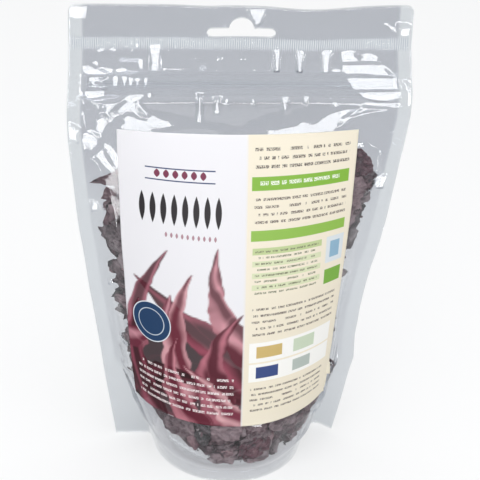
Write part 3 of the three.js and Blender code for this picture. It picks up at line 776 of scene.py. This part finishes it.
def labelInk(s, z):
    white, cream = (np.array(hexToLinear(c)[:3]) for c in ("#eeedf1", "#f3ead6"))
    right = smooth((s - 4.6) / 0.8)[..., None]
    colour = white * (1 - right) + cream * right
    spans = 59  # straight parts of each leaf's centreline
    for start, bend, end, rootWidth, tipWidth, dark, light in leaves:
        t = np.linspace(0, 1, spans + 1)[:, None]
        centre = (1 - t) ** 2 * np.array(start) + 2 * t * (1 - t) * np.array(bend) + t * t * np.array(end)
        best = np.full(s.shape, 1e9)
        side = np.zeros(s.shape)
        along = np.zeros(s.shape)
        for k in range(spans):
            step = centre[k + 1] - centre[k]
            ds, dz = s - centre[k][0], z - centre[k][1]
            part = np.clip((ds * step[0] + dz * step[1]) / (step @ step), 0, 1)
            distance = np.hypot(ds - part * step[0], dz - part * step[1])
            closer = distance < best
            best = np.where(closer, distance, best)
            side = np.where(closer, np.sign(ds * step[1] - dz * step[0]) * distance, side)
            along = np.where(closer, (k + part) / spans, along)
        ruffle = noise(along * 9, np.sign(side), rootWidth * 10 + start[0])
        ruffle = ruffle + 0.5 * noise(along * 23, np.sign(side), bend[0])
        taper = (rootWidth + (tipWidth - rootWidth) * along) * np.sqrt(np.clip(1.02 - along**3, 0.01, 1))
        width = taper * (0.62 + 0.5 * ruffle)
        cover = smooth((width - best) / 0.9 + 0.5)
        fold = 0.5 + 0.5 * np.sin(side / width * 3.4 + along * 6 + 4 * noise(along * 4, side / 9, bend[1]))
        rib = creased(side / 5.5 + start[1], along * 4, bend[0] + 3) ** 4
        shade = np.clip(0.9 * fold**1.6 + 0.35 * rib - 0.15, 0, 1)[..., None]
        tone = np.array(hexToLinear(dark)[:3]) * (1 - shade) + np.array(hexToLinear(light)[:3]) * shade
        cover = (cover * smooth((5 - s) / 1.0))[..., None] * 0.95
        colour = colour * (1 - cover) + tone * cover
    return colour


def labelPiece():
    columns = int(2 * label["halfWidth"] / label["step"]) + 1
    rows = int((label["top"] - label["bottom"]) / label["step"]) + 1
    across = np.linspace(-label["halfWidth"], label["halfWidth"], columns)
    s, z = np.meshgrid(across, np.linspace(label["bottom"], label["top"], rows))
    offset = gapAt(s, z) + pouch["cadFilm"] + label["off"] + relief(s, z, -1)
    points = filmPoint(s, z, offset, -1)
    piece = newMesh("paper_label", points.reshape(-1, 3), gridFaces(columns, rows))
    colours = np.concatenate([labelInk(s, z), np.ones(s.shape + (1,))], -1).reshape(-1, 4)
    setAttribute(piece, "ink", colours)
    flat = piece.data.uv_layers.new(name="print")
    corners = np.empty(len(piece.data.loops), int)
    piece.data.loops.foreach_get("vertex_index", corners)
    flat.data.foreach_set("uv", (np.stack([s.ravel(), z.ravel()], -1)[corners] / 1000).ravel())
    piece.data.materials.append(paper)
    piece.data.materials.append(labelBack)
    wall = addWall(piece, "paperThickness", label["thickness"])
    wall.material_offset = wall.material_offset_rim = 1
    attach(piece, "root")
    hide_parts("label")


labelPiece()
print("label made")


fronds = {
    "angles": 72, "rings": 7, "thickness": 0.5, "margin": 2, "crumple": 0.14, "wallRoom": 11, "edgeRoom": 1.4,
    "bottom": 9, "rows": 4, "gap": 0.6, "stagger": 5, "lobes": 6,
}
frondLayers = [  # depth is a share of the bulge
    {"depth": -0.88, "columns": 3, "halfWidth": 60, "top": 186, "seed": 11},
    {"depth": -0.44, "columns": 2, "halfWidth": 66, "top": 190, "seed": 23},
    {"depth": 0, "columns": 2, "halfWidth": 78, "top": 198, "seed": 37},
    {"depth": 0.44, "columns": 2, "halfWidth": 66, "top": 190, "seed": 41},
    {"depth": 0.88, "columns": 3, "halfWidth": 60, "top": 186, "seed": 59},
]


# Lowest place of a blade, as the gusset rises to its ears.
def heapFloor(x):
    return fronds["bottom"] + 47 * (np.abs(x) / 62) ** 2.2


# Depth of the bulge over a place on the middle plane.
def bulgeAt(x, z):
    x, z = np.broadcast_arrays(np.asarray(x, float), np.asarray(z, float))
    row = np.clip(z, 0, pouch["height"] - 1e-6)
    i = row.astype(int)
    v = row - i
    flatX, flatI, flatV = np.abs(x).ravel(), i.ravel(), v.ravel()
    depth = np.empty(flatX.shape)
    for k in np.unique(flatI):
        here = flatI == k
        low = np.interp(flatX[here], acrossTable[k], depthTable[k], right=0)
        high = np.interp(flatX[here], acrossTable[k + 1], depthTable[k + 1], right=0)
        depth[here] = low * (1 - flatV[here]) + high * flatV[here]
    return depth.reshape(x.shape)


# Even draws from 0 to 1 from a fixed seed.
def seeded(seed):
    state = [seed]

    def draw():
        state[0] = (state[0] * 1664525 + 1013904223) % 4294967296
        return state[0] / 4294967296

    return draw


# Faces of a fan that is closed round its middle point, ring after ring.
def fanFaces(angles, rings, base=0):
    faces = []
    for k in range(angles):
        after = (k + 1) % angles
        faces.append([base, base + 1 + k, base + 1 + after])
        for ring in range(rings - 1):
            a, b = base + 1 + ring * angles + k, base + 1 + ring * angles + after
            faces.append([a, a + angles, b + angles, b])
    return faces


# Makes a piece of dulse, with its tone and how much of its colour it keeps at each point.
def dulsePiece(name, points, faces, tone, grey, thickness):
    piece = newMesh(name, points, faces)
    setAttribute(piece, "tone", tone)
    setAttribute(piece, "grey", grey)
    addWall(piece, "bladeThickness", thickness)
    piece.data.materials.append(dulse)
    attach(piece, "root")
    return piece


def frondPiece(name, layer, left, right, low, high, draw):
    waves = [0.07 + 0.06 * draw(), 0.06 + 0.06 * draw()]
    phases = [draw() * 6.28, draw() * 6.28]
    turn = draw() * 6.28
    lengths = [0.8 + 0.5 * draw() for _ in range(fronds["lobes"])]
    least = fronds["edgeRoom"] if layer["depth"] == 0 else fronds["wallRoom"]

    def fits(x, z):
        gap = fronds["gap"]
        inside = (x > left + gap) & (x < right - gap) & (z > heapFloor(x))
        inside = inside & (z > low + gap) & (z < high - gap)
        return inside & (bulgeAt(x, z) - fronds["margin"] > least)

    centre = np.array([(left + right) / 2, (low + high) / 2])
    while not fits(centre[0], centre[1]) and abs(centre[0]) > 1:
        centre[0] *= 0.95
    size = np.array([(right - left) / 2, (high - low) / 2])
    count = fronds["angles"]
    turnStep = np.arange(count) / count
    lobe = turnStep * fronds["lobes"]
    tip = np.abs(np.cos(lobe * np.pi)) ** 0.6
    nearest = np.floor(lobe + 0.5).astype(int) % fronds["lobes"]
    wanted = (0.5 + 0.62 * tip) * np.array(lengths)[nearest]
    theta = turnStep * 2 * np.pi + turn
    way = np.stack([np.cos(theta) * size[0], np.sin(theta) * size[1]], -1)
    reaches = np.arange(0, 1.6, 0.02)
    spots = centre + way[:, None] * reaches[None, :, None]
    good = fits(spots[..., 0], spots[..., 1])
    firstBad = np.where(good.all(1), len(reaches) - 1, np.argmin(good, 1) - 1)
    reach = np.minimum(wanted, reaches[np.maximum(firstBad, 0)])
    seed = layer["seed"] + centre[0] + centre[1]
    teeth = noise(turnStep * 31, 0 * turnStep, seed) * 0.16
    teeth = teeth + noise(turnStep * 67, 0 * turnStep, seed + 1) * 0.08
    reach = reach * (1 - teeth)
    places, edge = [centre], [0.0]
    for ring in np.linspace(0, 1, fronds["rings"] + 1)[1:]:
        for k in range(count):
            places.append(centre + way[k] * reach[k] * ring)
            edge.append(ring)
    places, edge = np.array(places), np.array(edge)
    x, z = places[:, 0], places[:, 1]
    crumple = 0.5 * np.sin(waves[0] * x + waves[1] * z + phases[0])
    crumple = crumple + 0.5 * np.sin(waves[1] * x * 1.7 - waves[0] * z * 1.4 + phases[1])
    room = bulgeAt(x, z) - fronds["margin"]
    y = (layer["depth"] + fronds["crumple"] * crumple) * room
    ruffle = (creased(x / 9, z / 8, seed) - 0.5) * 2.4 + (noise(x / 4, z / 4, seed + 2) - 0.5) * 2.2 * edge
    y = np.clip(y + ruffle, -room + 0.4, room - 0.4)
    y = y + middlePlane(x, z)
    points, faces = np.stack([x, y, z], -1), fanFaces(count, fronds["rings"])
    tone, grey = 0.25 + 0.5 * noise(x / 15, z / 15, seed + 5), np.full(x.shape, 0.8)
    piece = dulsePiece(name + "_blade", points, faces, tone, grey, fronds["thickness"])
    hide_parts(name)


number = 0
for layer in frondLayers:
    draw = seeded(layer["seed"])
    for row in range(fronds["rows"]):
        low = fronds["bottom"] + (layer["top"] - fronds["bottom"]) * row / fronds["rows"]
        high = fronds["bottom"] + (layer["top"] - fronds["bottom"]) * (row + 1) / fronds["rows"]
        stagger = fronds["stagger"] if row % 2 else -fronds["stagger"]
        half, columns = layer["halfWidth"], layer["columns"]
        edges = [-half + 2 * half * k / columns for k in range(columns + 1)]
        edges = [edges[0]] + [place + stagger for place in edges[1:-1]] + [edges[-1]]
        for column in range(columns):
            number += 1
            frondPiece(f"frond_{number:02d}", layer, edges[column], edges[column + 1], low, high, draw)
print("fronds made")

flakes = {  # how many, their radius, their depth behind the film, their range of height, and their grid
    "low": {
        "count": 84, "sizes": (8, 15), "depths": (-1.5, 3.5), "rise": (8, 58), "angles": 46, "rings": 12},
    "face": {
        "count": 110, "sizes": (9, 17), "depths": (-0.5, 4.0), "rise": (50, 184), "angles": 34, "rings": 9},
    "side": {
        "count": 60, "sizes": (7, 13), "depths": (0.0, 3.5), "rise": (40, 182), "angles": 40, "rings": 10},
    "deep": {
        "count": 64, "sizes": (15, 24), "depths": (7.0, 12.0), "rise": (10, 184), "angles": 34, "rings": 9},
}
heap = {
    "top": 188,
    "thickness": 0.4,  # of a blade
    "backShare": 0.7,  # fewer flakes behind the back film
    "room": 2.0,  # least depth behind the film, with the broad fronds in front
    "tries": 6000,
}
# Lower edge of the heap behind the front film: places along the flat width, and their heights.
frontHeap = (
    [-84, -60, -41, -28, -15, -9, 5, 18, 35, 50, 69, 84],
    [66, 50, 35, 21, 14, 11.5, 11, 10.5, 12.5, 16, 30, 56],
)


# Edge of the heap beside the label, where the fronds stop short of the side seal.
def heapEdge(z, side):
    drawnIn = np.where(side > 0, 6 * hump((z - 92) / 28), 1.0)
    return 71.5 + 9.5 * noise(z / 13, 0 * z, 21 + side) - drawnIn


def heapBottom(s, facing):
    return np.interp(s, *frontHeap) if facing < 0 else gussetSealLine(s) + 3.5


# One broken piece of frond, curled and creased, in film coordinates with its depth behind the film.
def flakeShape(rng, s0, z0, size, depth, mark, grid):
    theta = np.arange(grid["angles"]) / grid["angles"] * 2 * np.pi
    lobes = noise(np.cos(theta) * 1.3 + 5, np.sin(theta) * 1.3 + 5, mark) - 0.5
    teeth = noise(np.cos(theta) * 5 + 9, np.sin(theta) * 5 + 9, mark + 7) - 0.5
    shape = np.clip(0.85 + 0.75 * lobes + 0.3 * teeth, 0.3, 1.3)
    ring = np.linspace(0, 1, grid["rings"] + 1)[1:, None]
    stretch, turn = rng.uniform(0.55, 1), rng.uniform(0, 6.28)
    u = np.concatenate([[0.0], (size * shape * ring * np.cos(theta)).ravel()])
    v = np.concatenate([[0.0], (size * shape * ring * np.sin(theta) * stretch).ravel()])
    s = s0 + u * math.cos(turn) - v * math.sin(turn)
    z = z0 + u * math.sin(turn) + v * math.cos(turn)
    tilt = rng.uniform(-0.5, 0.5, 2)
    curl = rng.uniform(-0.02, 0.05)
    warp = 4 * noise(u / 6 + mark, v / 6, mark + 9)
    broad = creased((u + warp) / 11 + mark, (v - warp) / 6.5, mark)
    middling = creased((u + warp) / 4.6, (v + warp) / 5.2 + mark, mark + 3)
    fine = creased(u / 2.3 + mark, v / 2.1, mark + 5)
    inward = depth + tilt[0] * u + tilt[1] * v + curl * u * u
    inward += 6.5 * (1 - broad) + 3.0 * (1 - middling) + 1.1 * (1 - fine)
    inward = heap["room"] + np.log1p(np.exp(np.clip(inward - heap["room"], -20, 20)))
    # Tone: a random share per flake, then painted light and shade from the creases, lighter on the crests and
    # darker in the valleys, and painted shade darkening the rim, for the gaps between pieces.
    tone = rng.uniform(0.0, 0.75) + 0.7 * (middling - 0.5) + 0.8 * (broad - 0.6) + 0.5 * (fine - 0.5)
    tone = tone - 0.3 * np.concatenate([[0.0], (ring**6 + 0 * theta).ravel()])
    return s, z, inward, tone, np.full(s.shape, rng.uniform(0.4, 1.35))


# Broken pieces pressed against the inside of the film, where the heap shows, and deeper ones behind them.
def wallFlakes(name, facing, kind, seed):
    rng = np.random.default_rng(seed)
    group = flakes[kind]
    points, faces, tones, greys = [], [], [], []
    wanted = group["count"] if facing < 0 else heap["backShare"] * group["count"]
    base = made = tries = 0
    while made < wanted and tries < heap["tries"]:
        tries += 1
        across, rise = (tries * 0.7549 + seed / 7) % 1, (tries * 0.5698 + seed / 11) % 1
        z0 = group["rise"][0] + rise * (group["rise"][1] - group["rise"][0])
        s0 = (across * 2 - 1) * (pouch["halfWidth"] - sealAt(z0) - 4)
        size = rng.uniform(*group["sizes"])
        if kind == "side":
            s0 = math.copysign(heapEdge(z0, np.sign(s0)) - size * rng.uniform(0.8, 1.6), s0)
        if z0 < heapBottom(s0, facing) + 0.3 * size:
            continue
        depth = rng.uniform(*group["depths"])
        s, z, inward, tone, grey = flakeShape(rng, s0, z0, size, depth, made + seed, group)
        if (np.abs(s) > heapEdge(z, np.sign(s)) + 1.5).any() or z.max() > heap["top"]:
            continue
        least = heapBottom(s, facing)
        z = np.where(z < least, least + 0.15 * (z - least), z)
        inward = np.minimum(inward, np.maximum(lookUp(depthTable, s, z), 0.9))
        points.append(filmPoint(s, z, pouch["gap"] - inward + relief(s, z, facing) * 0.8, facing))
        tones.append(tone)
        greys.append(grey)
        faces += fanFaces(group["angles"], group["rings"], base)
        base += len(s)
        made += 1
    points, tones, greys = (np.concatenate(values) for values in (points, tones, greys))
    dulsePiece(name, points, faces, tones, greys, heap["thickness"])
    print(name, made, "flakes in", tries)


for seed, (side, facing) in enumerate([("front", -1), ("back", 1)]):
    for kind in ("low", "face", "side", "deep"):
        wallFlakes(f"{side}_{kind}_flakes", facing, kind, 5 + 4 * seed)
print("flakes made")


# Broad fronds that lie against the front film, beside and below the label: their corners along the flat
# width and up the height, then their tone and how much colour they keep.
broadFronds = [
    ([(-81.3, 171.9), (-74.3, 176.9), (-67.4, 181.9), (-63, 184), (-63, 172.8),
      (-72.3, 172.1)], 0.42, 1.1),
    ([(-73, 171), (-63, 171.5), (-64, 162), (-70.1, 161.8), (-76.3, 162.4)], 0.36, 1.1),
    ([(-79, 143.7), (-73.5, 146.7), (-65, 151.3), (-64, 132), (-72.7, 130.2), (-77.5, 136.2)], 0.55, 0.6),
    ([(61, 197), (67.3, 195.8), (72.8, 190), (75.8, 183), (75.6, 180), (70.6, 178.6),
      (65.8, 177.2), (61, 179)], 0.3, 1.3),
    ([(61, 178), (70, 178.5), (73.5, 171), (72, 163), (68, 155), (61, 152)], 0.75, 1.0),
    ([(26, 30.2), (36, 31), (47, 36), (52, 30), (50, 24), (36, 21.5), (27, 22.9)], 0.24, 1.0),
    ([(-43, 31.1), (-38, 38), (-32, 40), (-24, 40), (-21, 29.7), (-28, 25.8), (-36, 24.9),
      (-41, 27)], 0.55, 0.9),
    ([(6, 42), (17, 42), (21, 34.8), (17, 30.2), (9, 30.5)], 0.45, 1.0),
    ([(22, 42), (36, 42), (42, 32), (34, 27.5), (25, 30.7), (21, 34.8)], 0.6, 0.9),
    ([(-19, 42), (-13, 43), (-12, 31.6), (-14, 23.7), (-16, 21.7), (-21, 26.2), (-23, 32)], 0.08, 0.5),
    ([(-14, 23.7), (-6, 24.8), (2, 27.6), (0, 23.6), (-5, 19.2), (-15, 17.2), (-19, 20.2)], 0.26, 0.8),
    ([(5, 25.4), (14, 29.7), (20, 29.5), (24, 24.7), (23, 18.5), (18, 15.9), (9, 13.8),
      (4, 17.1)], 0.28, 1.5),
    ([(-6, 21.3), (1, 22.9), (1, 18), (-4, 16.5)], 0.6, 1.2),
    ([(5, 28.2), (15, 33.6), (24, 31.9), (24, 28.3), (14, 29), (6, 25.3)], 0.62, 0.8),
    ([(-11, 43), (-4, 43.5), (4, 42), (6, 34.9), (4, 28.9), (0, 27), (-5, 29.7), (-9, 30.6),
      (-13, 32.9), (-12, 38.4)], 0.8, 1.0),
]
broadFrondGrid = {"angles": 96, "rings": 20}


def broadFrondPiece():
    points, faces, tones, greys = [], [], [], []
    for mark, (outline, tone, grey) in enumerate(broadFronds):
        corners = np.array(outline + outline[:1], float)
        reach = np.concatenate([[0], np.cumsum(np.hypot(*np.diff(corners, axis=0).T))])
        around = np.linspace(0, reach[-1], broadFrondGrid["angles"], endpoint=False)
        edge = np.stack([np.interp(around, reach, corners[:, k]) for k in (0, 1)], -1)
        middle = edge.mean(0)
        ragged = 1 + 0.16 * (noise(around / 1.7, 0 * around, mark) - 0.5)
        ring = np.linspace(0, 1, broadFrondGrid["rings"] + 1)[1:, None, None]
        rest = middle + ring * (edge - middle) * ragged[:, None]
        s, z = np.concatenate([[middle], rest.reshape(-1, 2)]).T
        broad = creased(s / 9 + mark, (z + 0.4 * s) / 6, mark + 2)
        middling = creased((s + z) / 4.2, (z - 0.6 * s) / 2.8, mark + 8)
        fine = creased(s / 1.5, z / 1.4, mark + 12)
        inward = 0.4 + 1.8 * (1 - broad) + 0.9 * (1 - middling) + 0.35 * (1 - fine)
        inward = np.minimum(inward, np.maximum(lookUp(depthTable, s, z), 0.8))
        faces += fanFaces(broadFrondGrid["angles"], broadFrondGrid["rings"], sum(len(p) for p in points))
        points.append(filmPoint(s, z, pouch["gap"] - inward + relief(s, z, -1) * 0.8, -1))
        # Tone: each frond's own, plus painted light and shade from its creases, lighter on the crests and
        # darker in the valleys.
        tones.append(tone + 0.4 * (broad - 0.6) + 0.45 * (middling - 0.6) + 0.3 * (fine - 0.6))
        greys.append(np.full(s.shape, grey))
    points, tones, greys = (np.concatenate(values) for values in (points, tones, greys))
    dulsePiece("broad_fronds", points, faces, tones, greys, heap["thickness"])


broadFrondPiece()
print("broad fronds made")


# Turns a built node tree's result into a plain mesh piece.
def bakedPiece(source, tree, values, name):
    modifier = source.modifiers.new("nodes", "NODES")
    modifier.node_group = tree
    for socket in tree.interface.items_tree:
        if socket.name in values:
            modifier[socket.identifier] = values[socket.name]
    bpy.context.view_layer.update()
    evaluated = source.evaluated_get(bpy.context.evaluated_depsgraph_get())
    piece = bpy.data.objects.new(name, bpy.data.meshes.new_from_object(evaluated))
    bpy.context.scene.collection.objects.link(piece)
    bpy.data.objects.remove(source)
    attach(piece, "root")
    return piece


def newTree(name, inputs):
    tree = bpy.data.node_groups.new(name, "GeometryNodeTree")
    tree.interface.new_socket("Geometry", in_out="INPUT", socket_type="NodeSocketGeometry")
    for title, kind in inputs:
        tree.interface.new_socket(title, in_out="INPUT", socket_type=kind)
    tree.interface.new_socket("Geometry", in_out="OUTPUT", socket_type="NodeSocketGeometry")
    return tree, addNode(tree, "NodeGroupInput").outputs


# Ends a tree: real geometry in one material.
def endTree(tree, made, material):
    real = addNode(tree, "GeometryNodeRealizeInstances", {0: made})
    coated = addNode(tree, "GeometryNodeSetMaterial", {"Geometry": real, "Material": material})
    addNode(tree, "NodeGroupOutput", {0: coated})


ribs = {"pitch": 1.15, "reach": 88, "radius": 0.24, "sides": 5, "steps": 5}


# Ribs that the heated bar pressed into the heat seal, standing on each panel's outer face.
def sealRibs(name, facing):
    tree, given = newTree("sealRibs", [("Rib radius", "NodeSocketFloat"), ("Rib sides", "NodeSocketInt")])
    lines = addNode(tree, "GeometryNodeMeshToCurve", {"Mesh": given["Geometry"]})
    circle = addNode(tree, "GeometryNodeCurvePrimitiveCircle", {
        "Resolution": given["Rib sides"], "Radius": given["Rib radius"]})
    tubes = addNode(tree, "GeometryNodeCurveToMesh", {
        "Curve": lines, "Profile Curve": circle, "Fill Caps": True})
    endTree(tree, tubes, ribLook)
    places = np.arange(-ribs["reach"], ribs["reach"] + 0.01, ribs["pitch"])
    heights = np.linspace(pouch["ribsFrom"] + 0.4, pouch["ribsTo"] - 0.4, ribs["steps"])
    s, z = (a.ravel() for a in np.meshgrid(places, heights, indexing="ij"))
    points = filmPoint(s, z, gapAt(s, z) + pouch["cadFilm"] + relief(s, z, facing), facing)
    edges = [(k, k + 1) for k in range(len(s) - 1) if (k + 1) % ribs["steps"]]
    source = newMesh(name + "_lines", points, [], edges)
    piece = bakedPiece(source, tree, {"Rib radius": ribs["radius"] / 1000, "Rib sides": ribs["sides"]}, name)


sealRibs("front_seal_ribs", -1)
sealRibs("back_seal_ribs", 1)
print("seal ribs made")

crumbs = {
    "size": 1.0, "density": 60000, "seed": 4,
    "reach": 62, "rise": 9, "columns": 57, "rows": 9, "sides": 5,
}


# Crumbs of dulse that have sifted down onto the gusset, thickest along its seal.
def crumbPiece(name, facing):
    inputs = [("Density", "NodeSocketFloat"), ("Crumb size", "NodeSocketFloat"), ("Seed", "NodeSocketInt")]
    tree, given = newTree("crumbs", inputs)
    spots = addNode(tree, "GeometryNodeDistributePointsOnFaces", {
        "Mesh": given["Geometry"], "Density": given["Density"], "Seed": given["Seed"]})
    chip = addNode(tree, "GeometryNodeMeshCone", {
        "Vertices": crumbs["sides"], "Radius Top": 0.3, "Radius Bottom": 1.0, "Depth": 0.4})
    turn = {0: (0, 0, 0), 1: (6.28, 6.28, 6.28), "Seed": given["Seed"]}
    turn = addNode(tree, "FunctionNodeRandomValue", turn, data_type="FLOAT_VECTOR")
    scale = {0: (0.3, 0.3, 0.3), 1: (1.0, 0.8, 0.9), "Seed": given["Seed"]}
    scale = addNode(tree, "FunctionNodeRandomValue", scale, data_type="FLOAT_VECTOR")
    scale = {0: scale, "Scale": given["Crumb size"]}
    scale = addNode(tree, "ShaderNodeVectorMath", scale, operation="SCALE")
    laid = addNode(tree, "GeometryNodeInstanceOnPoints", {
        "Points": spots, "Instance": chip, "Rotation": turn, "Scale": scale})
    endTree(tree, laid, dulse)
    across = np.linspace(-crumbs["reach"], crumbs["reach"], crumbs["columns"])
    s, up = np.meshgrid(across, np.linspace(0, 1, crumbs["rows"]))
    z = heapBottom(s, facing) - 1.8 + crumbs["rise"] * up**1.5
    points = filmPoint(s, z, -1.0 - 2.5 * (1 - up), facing).reshape(-1, 3)
    source = newMesh(name + "_patch", points, gridFaces(crumbs["columns"], crumbs["rows"], flip=facing > 0))
    sizes = {"Density": float(crumbs["density"]), "Crumb size": crumbs["size"] / 1000, "Seed": crumbs["seed"]}
    piece = bakedPiece(source, tree, sizes, name)


crumbPiece("front_crumbs", -1)
crumbPiece("back_crumbs", 1)
print("crumbs made")

# The photo's view: degrees, millimetres, and the focal length in pixels of a picture 480 wide.
view = {
    "elevation": 33.0, "azimuth": 4.3, "roll": 2.22, "distance": 1150, "focal": 2066, "width": 480,
    "target": (3.6, 0, 134.7),
}


def placeCamera():
    up, side, roll = (math.radians(view[k]) for k in ("elevation", "azimuth", "roll"))
    forward = Vector((math.sin(side) * math.cos(up), math.cos(side) * math.cos(up), -math.sin(up)))
    right0 = Vector((math.cos(side), -math.sin(side), 0))
    above0 = right0.cross(forward)
    right = right0 * math.cos(roll) + above0 * math.sin(roll)
    above = above0 * math.cos(roll) - right0 * math.sin(roll)
    place = (Vector(view["target"]) - forward * view["distance"]) / 1000
    turned = Matrix((right, above, -forward)).transposed().to_4x4()
    data = bpy.data.cameras.new("camera")
    data.sensor_width = 36
    data.sensor_fit = "HORIZONTAL"
    data.lens = view["focal"] / view["width"] * data.sensor_width
    data.clip_start = 0.05
    camera = bpy.data.objects.new("camera", data)
    camera.matrix_world = Matrix.Translation(place) @ turned
    bpy.context.scene.collection.objects.link(camera)
    bpy.context.scene.camera = camera


placeCamera()

table = {"reach": 20000, "height": -0.5, "colour": "#f2f3f4", "glow": 0.96, "glowShare": 0.6}
corners = [(-1, -1), (1, -1), (1, 1), (-1, 1)]
corners = [(table["reach"] * u, table["reach"] * v, table["height"]) for u, v in corners]
floor = newMesh("floor", corners, [(0, 1, 2, 3)], smoothShade=False)
# Matt white sheet that gives off some light, so that the film has an even white to show.
floorMaterial, floorTree = newMaterial("paleFloor")
matt = addNode(floorTree, "ShaderNodeBsdfDiffuse", {"Color": hexToLinear(table["colour"])})
glow = addNode(floorTree, "ShaderNodeEmission", {"Color": (1, 1, 1, 1), "Strength": table["glow"]})
parts = {0: table["glowShare"], 1: matt, 2: glow}
floorLook = addNode(floorTree, "ShaderNodeMixShader", parts)
addNode(floorTree, "ShaderNodeOutputMaterial", {"Surface": floorLook})
floor.data.materials.append(floorMaterial)


# Lights: place, aim, width and height in metres, power in watts, and whether it is a white card that
# only the gloss sees.
lights = {
    "topSoftbox": ((0, 0, 1.4), (0, 0, 0), (1.5, 1.5), 15, False),
    "keySoftbox": ((-0.25, -1.1, 1.1), (0, 0, 0.12), (0.9, 0.9), 5, False),
    "frontReflector": ((0, -0.78, 0.2), (0, 0, 0.2), (1.1, 0.28), 19, True),
    "leftCard": ((-0.4, -0.31, 0.003), (-0.4, -0.31, 1), (0.32, 0.1), 2, True),
    "rightCard": ((0.46, -0.31, 0.003), (0.46, -0.31, 1), (0.3, 0.1), 2, True),
}


def addLight(name, place, aim, size, power, card):
    data = bpy.data.lights.new(name, "AREA")
    data.shape = "RECTANGLE"
    data.size, data.size_y = size
    data.energy = power
    lamp = bpy.data.objects.new(name, data)
    lamp.location = place
    lamp.rotation_euler = (Vector(aim) - Vector(place)).to_track_quat("-Z", "Y").to_euler()
    lamp.visible_camera = False
    lamp.visible_diffuse = not card
    bpy.context.scene.collection.objects.link(lamp)


for name, settings in lights.items():
    addLight(name, *settings)

world = bpy.data.worlds.new("studio")
world.use_nodes = True
backdrop = world.node_tree.nodes["Background"]
backdrop.inputs["Color"].default_value = (0.98, 0.99, 1, 1)
backdrop.inputs["Strength"].default_value = 0.5
scene = bpy.context.scene
scene.world = world
scene.view_settings.view_transform = "Standard"
scene.cycles.transparent_max_bounces = 32
scene.cycles.max_bounces = 12
print("stage made")
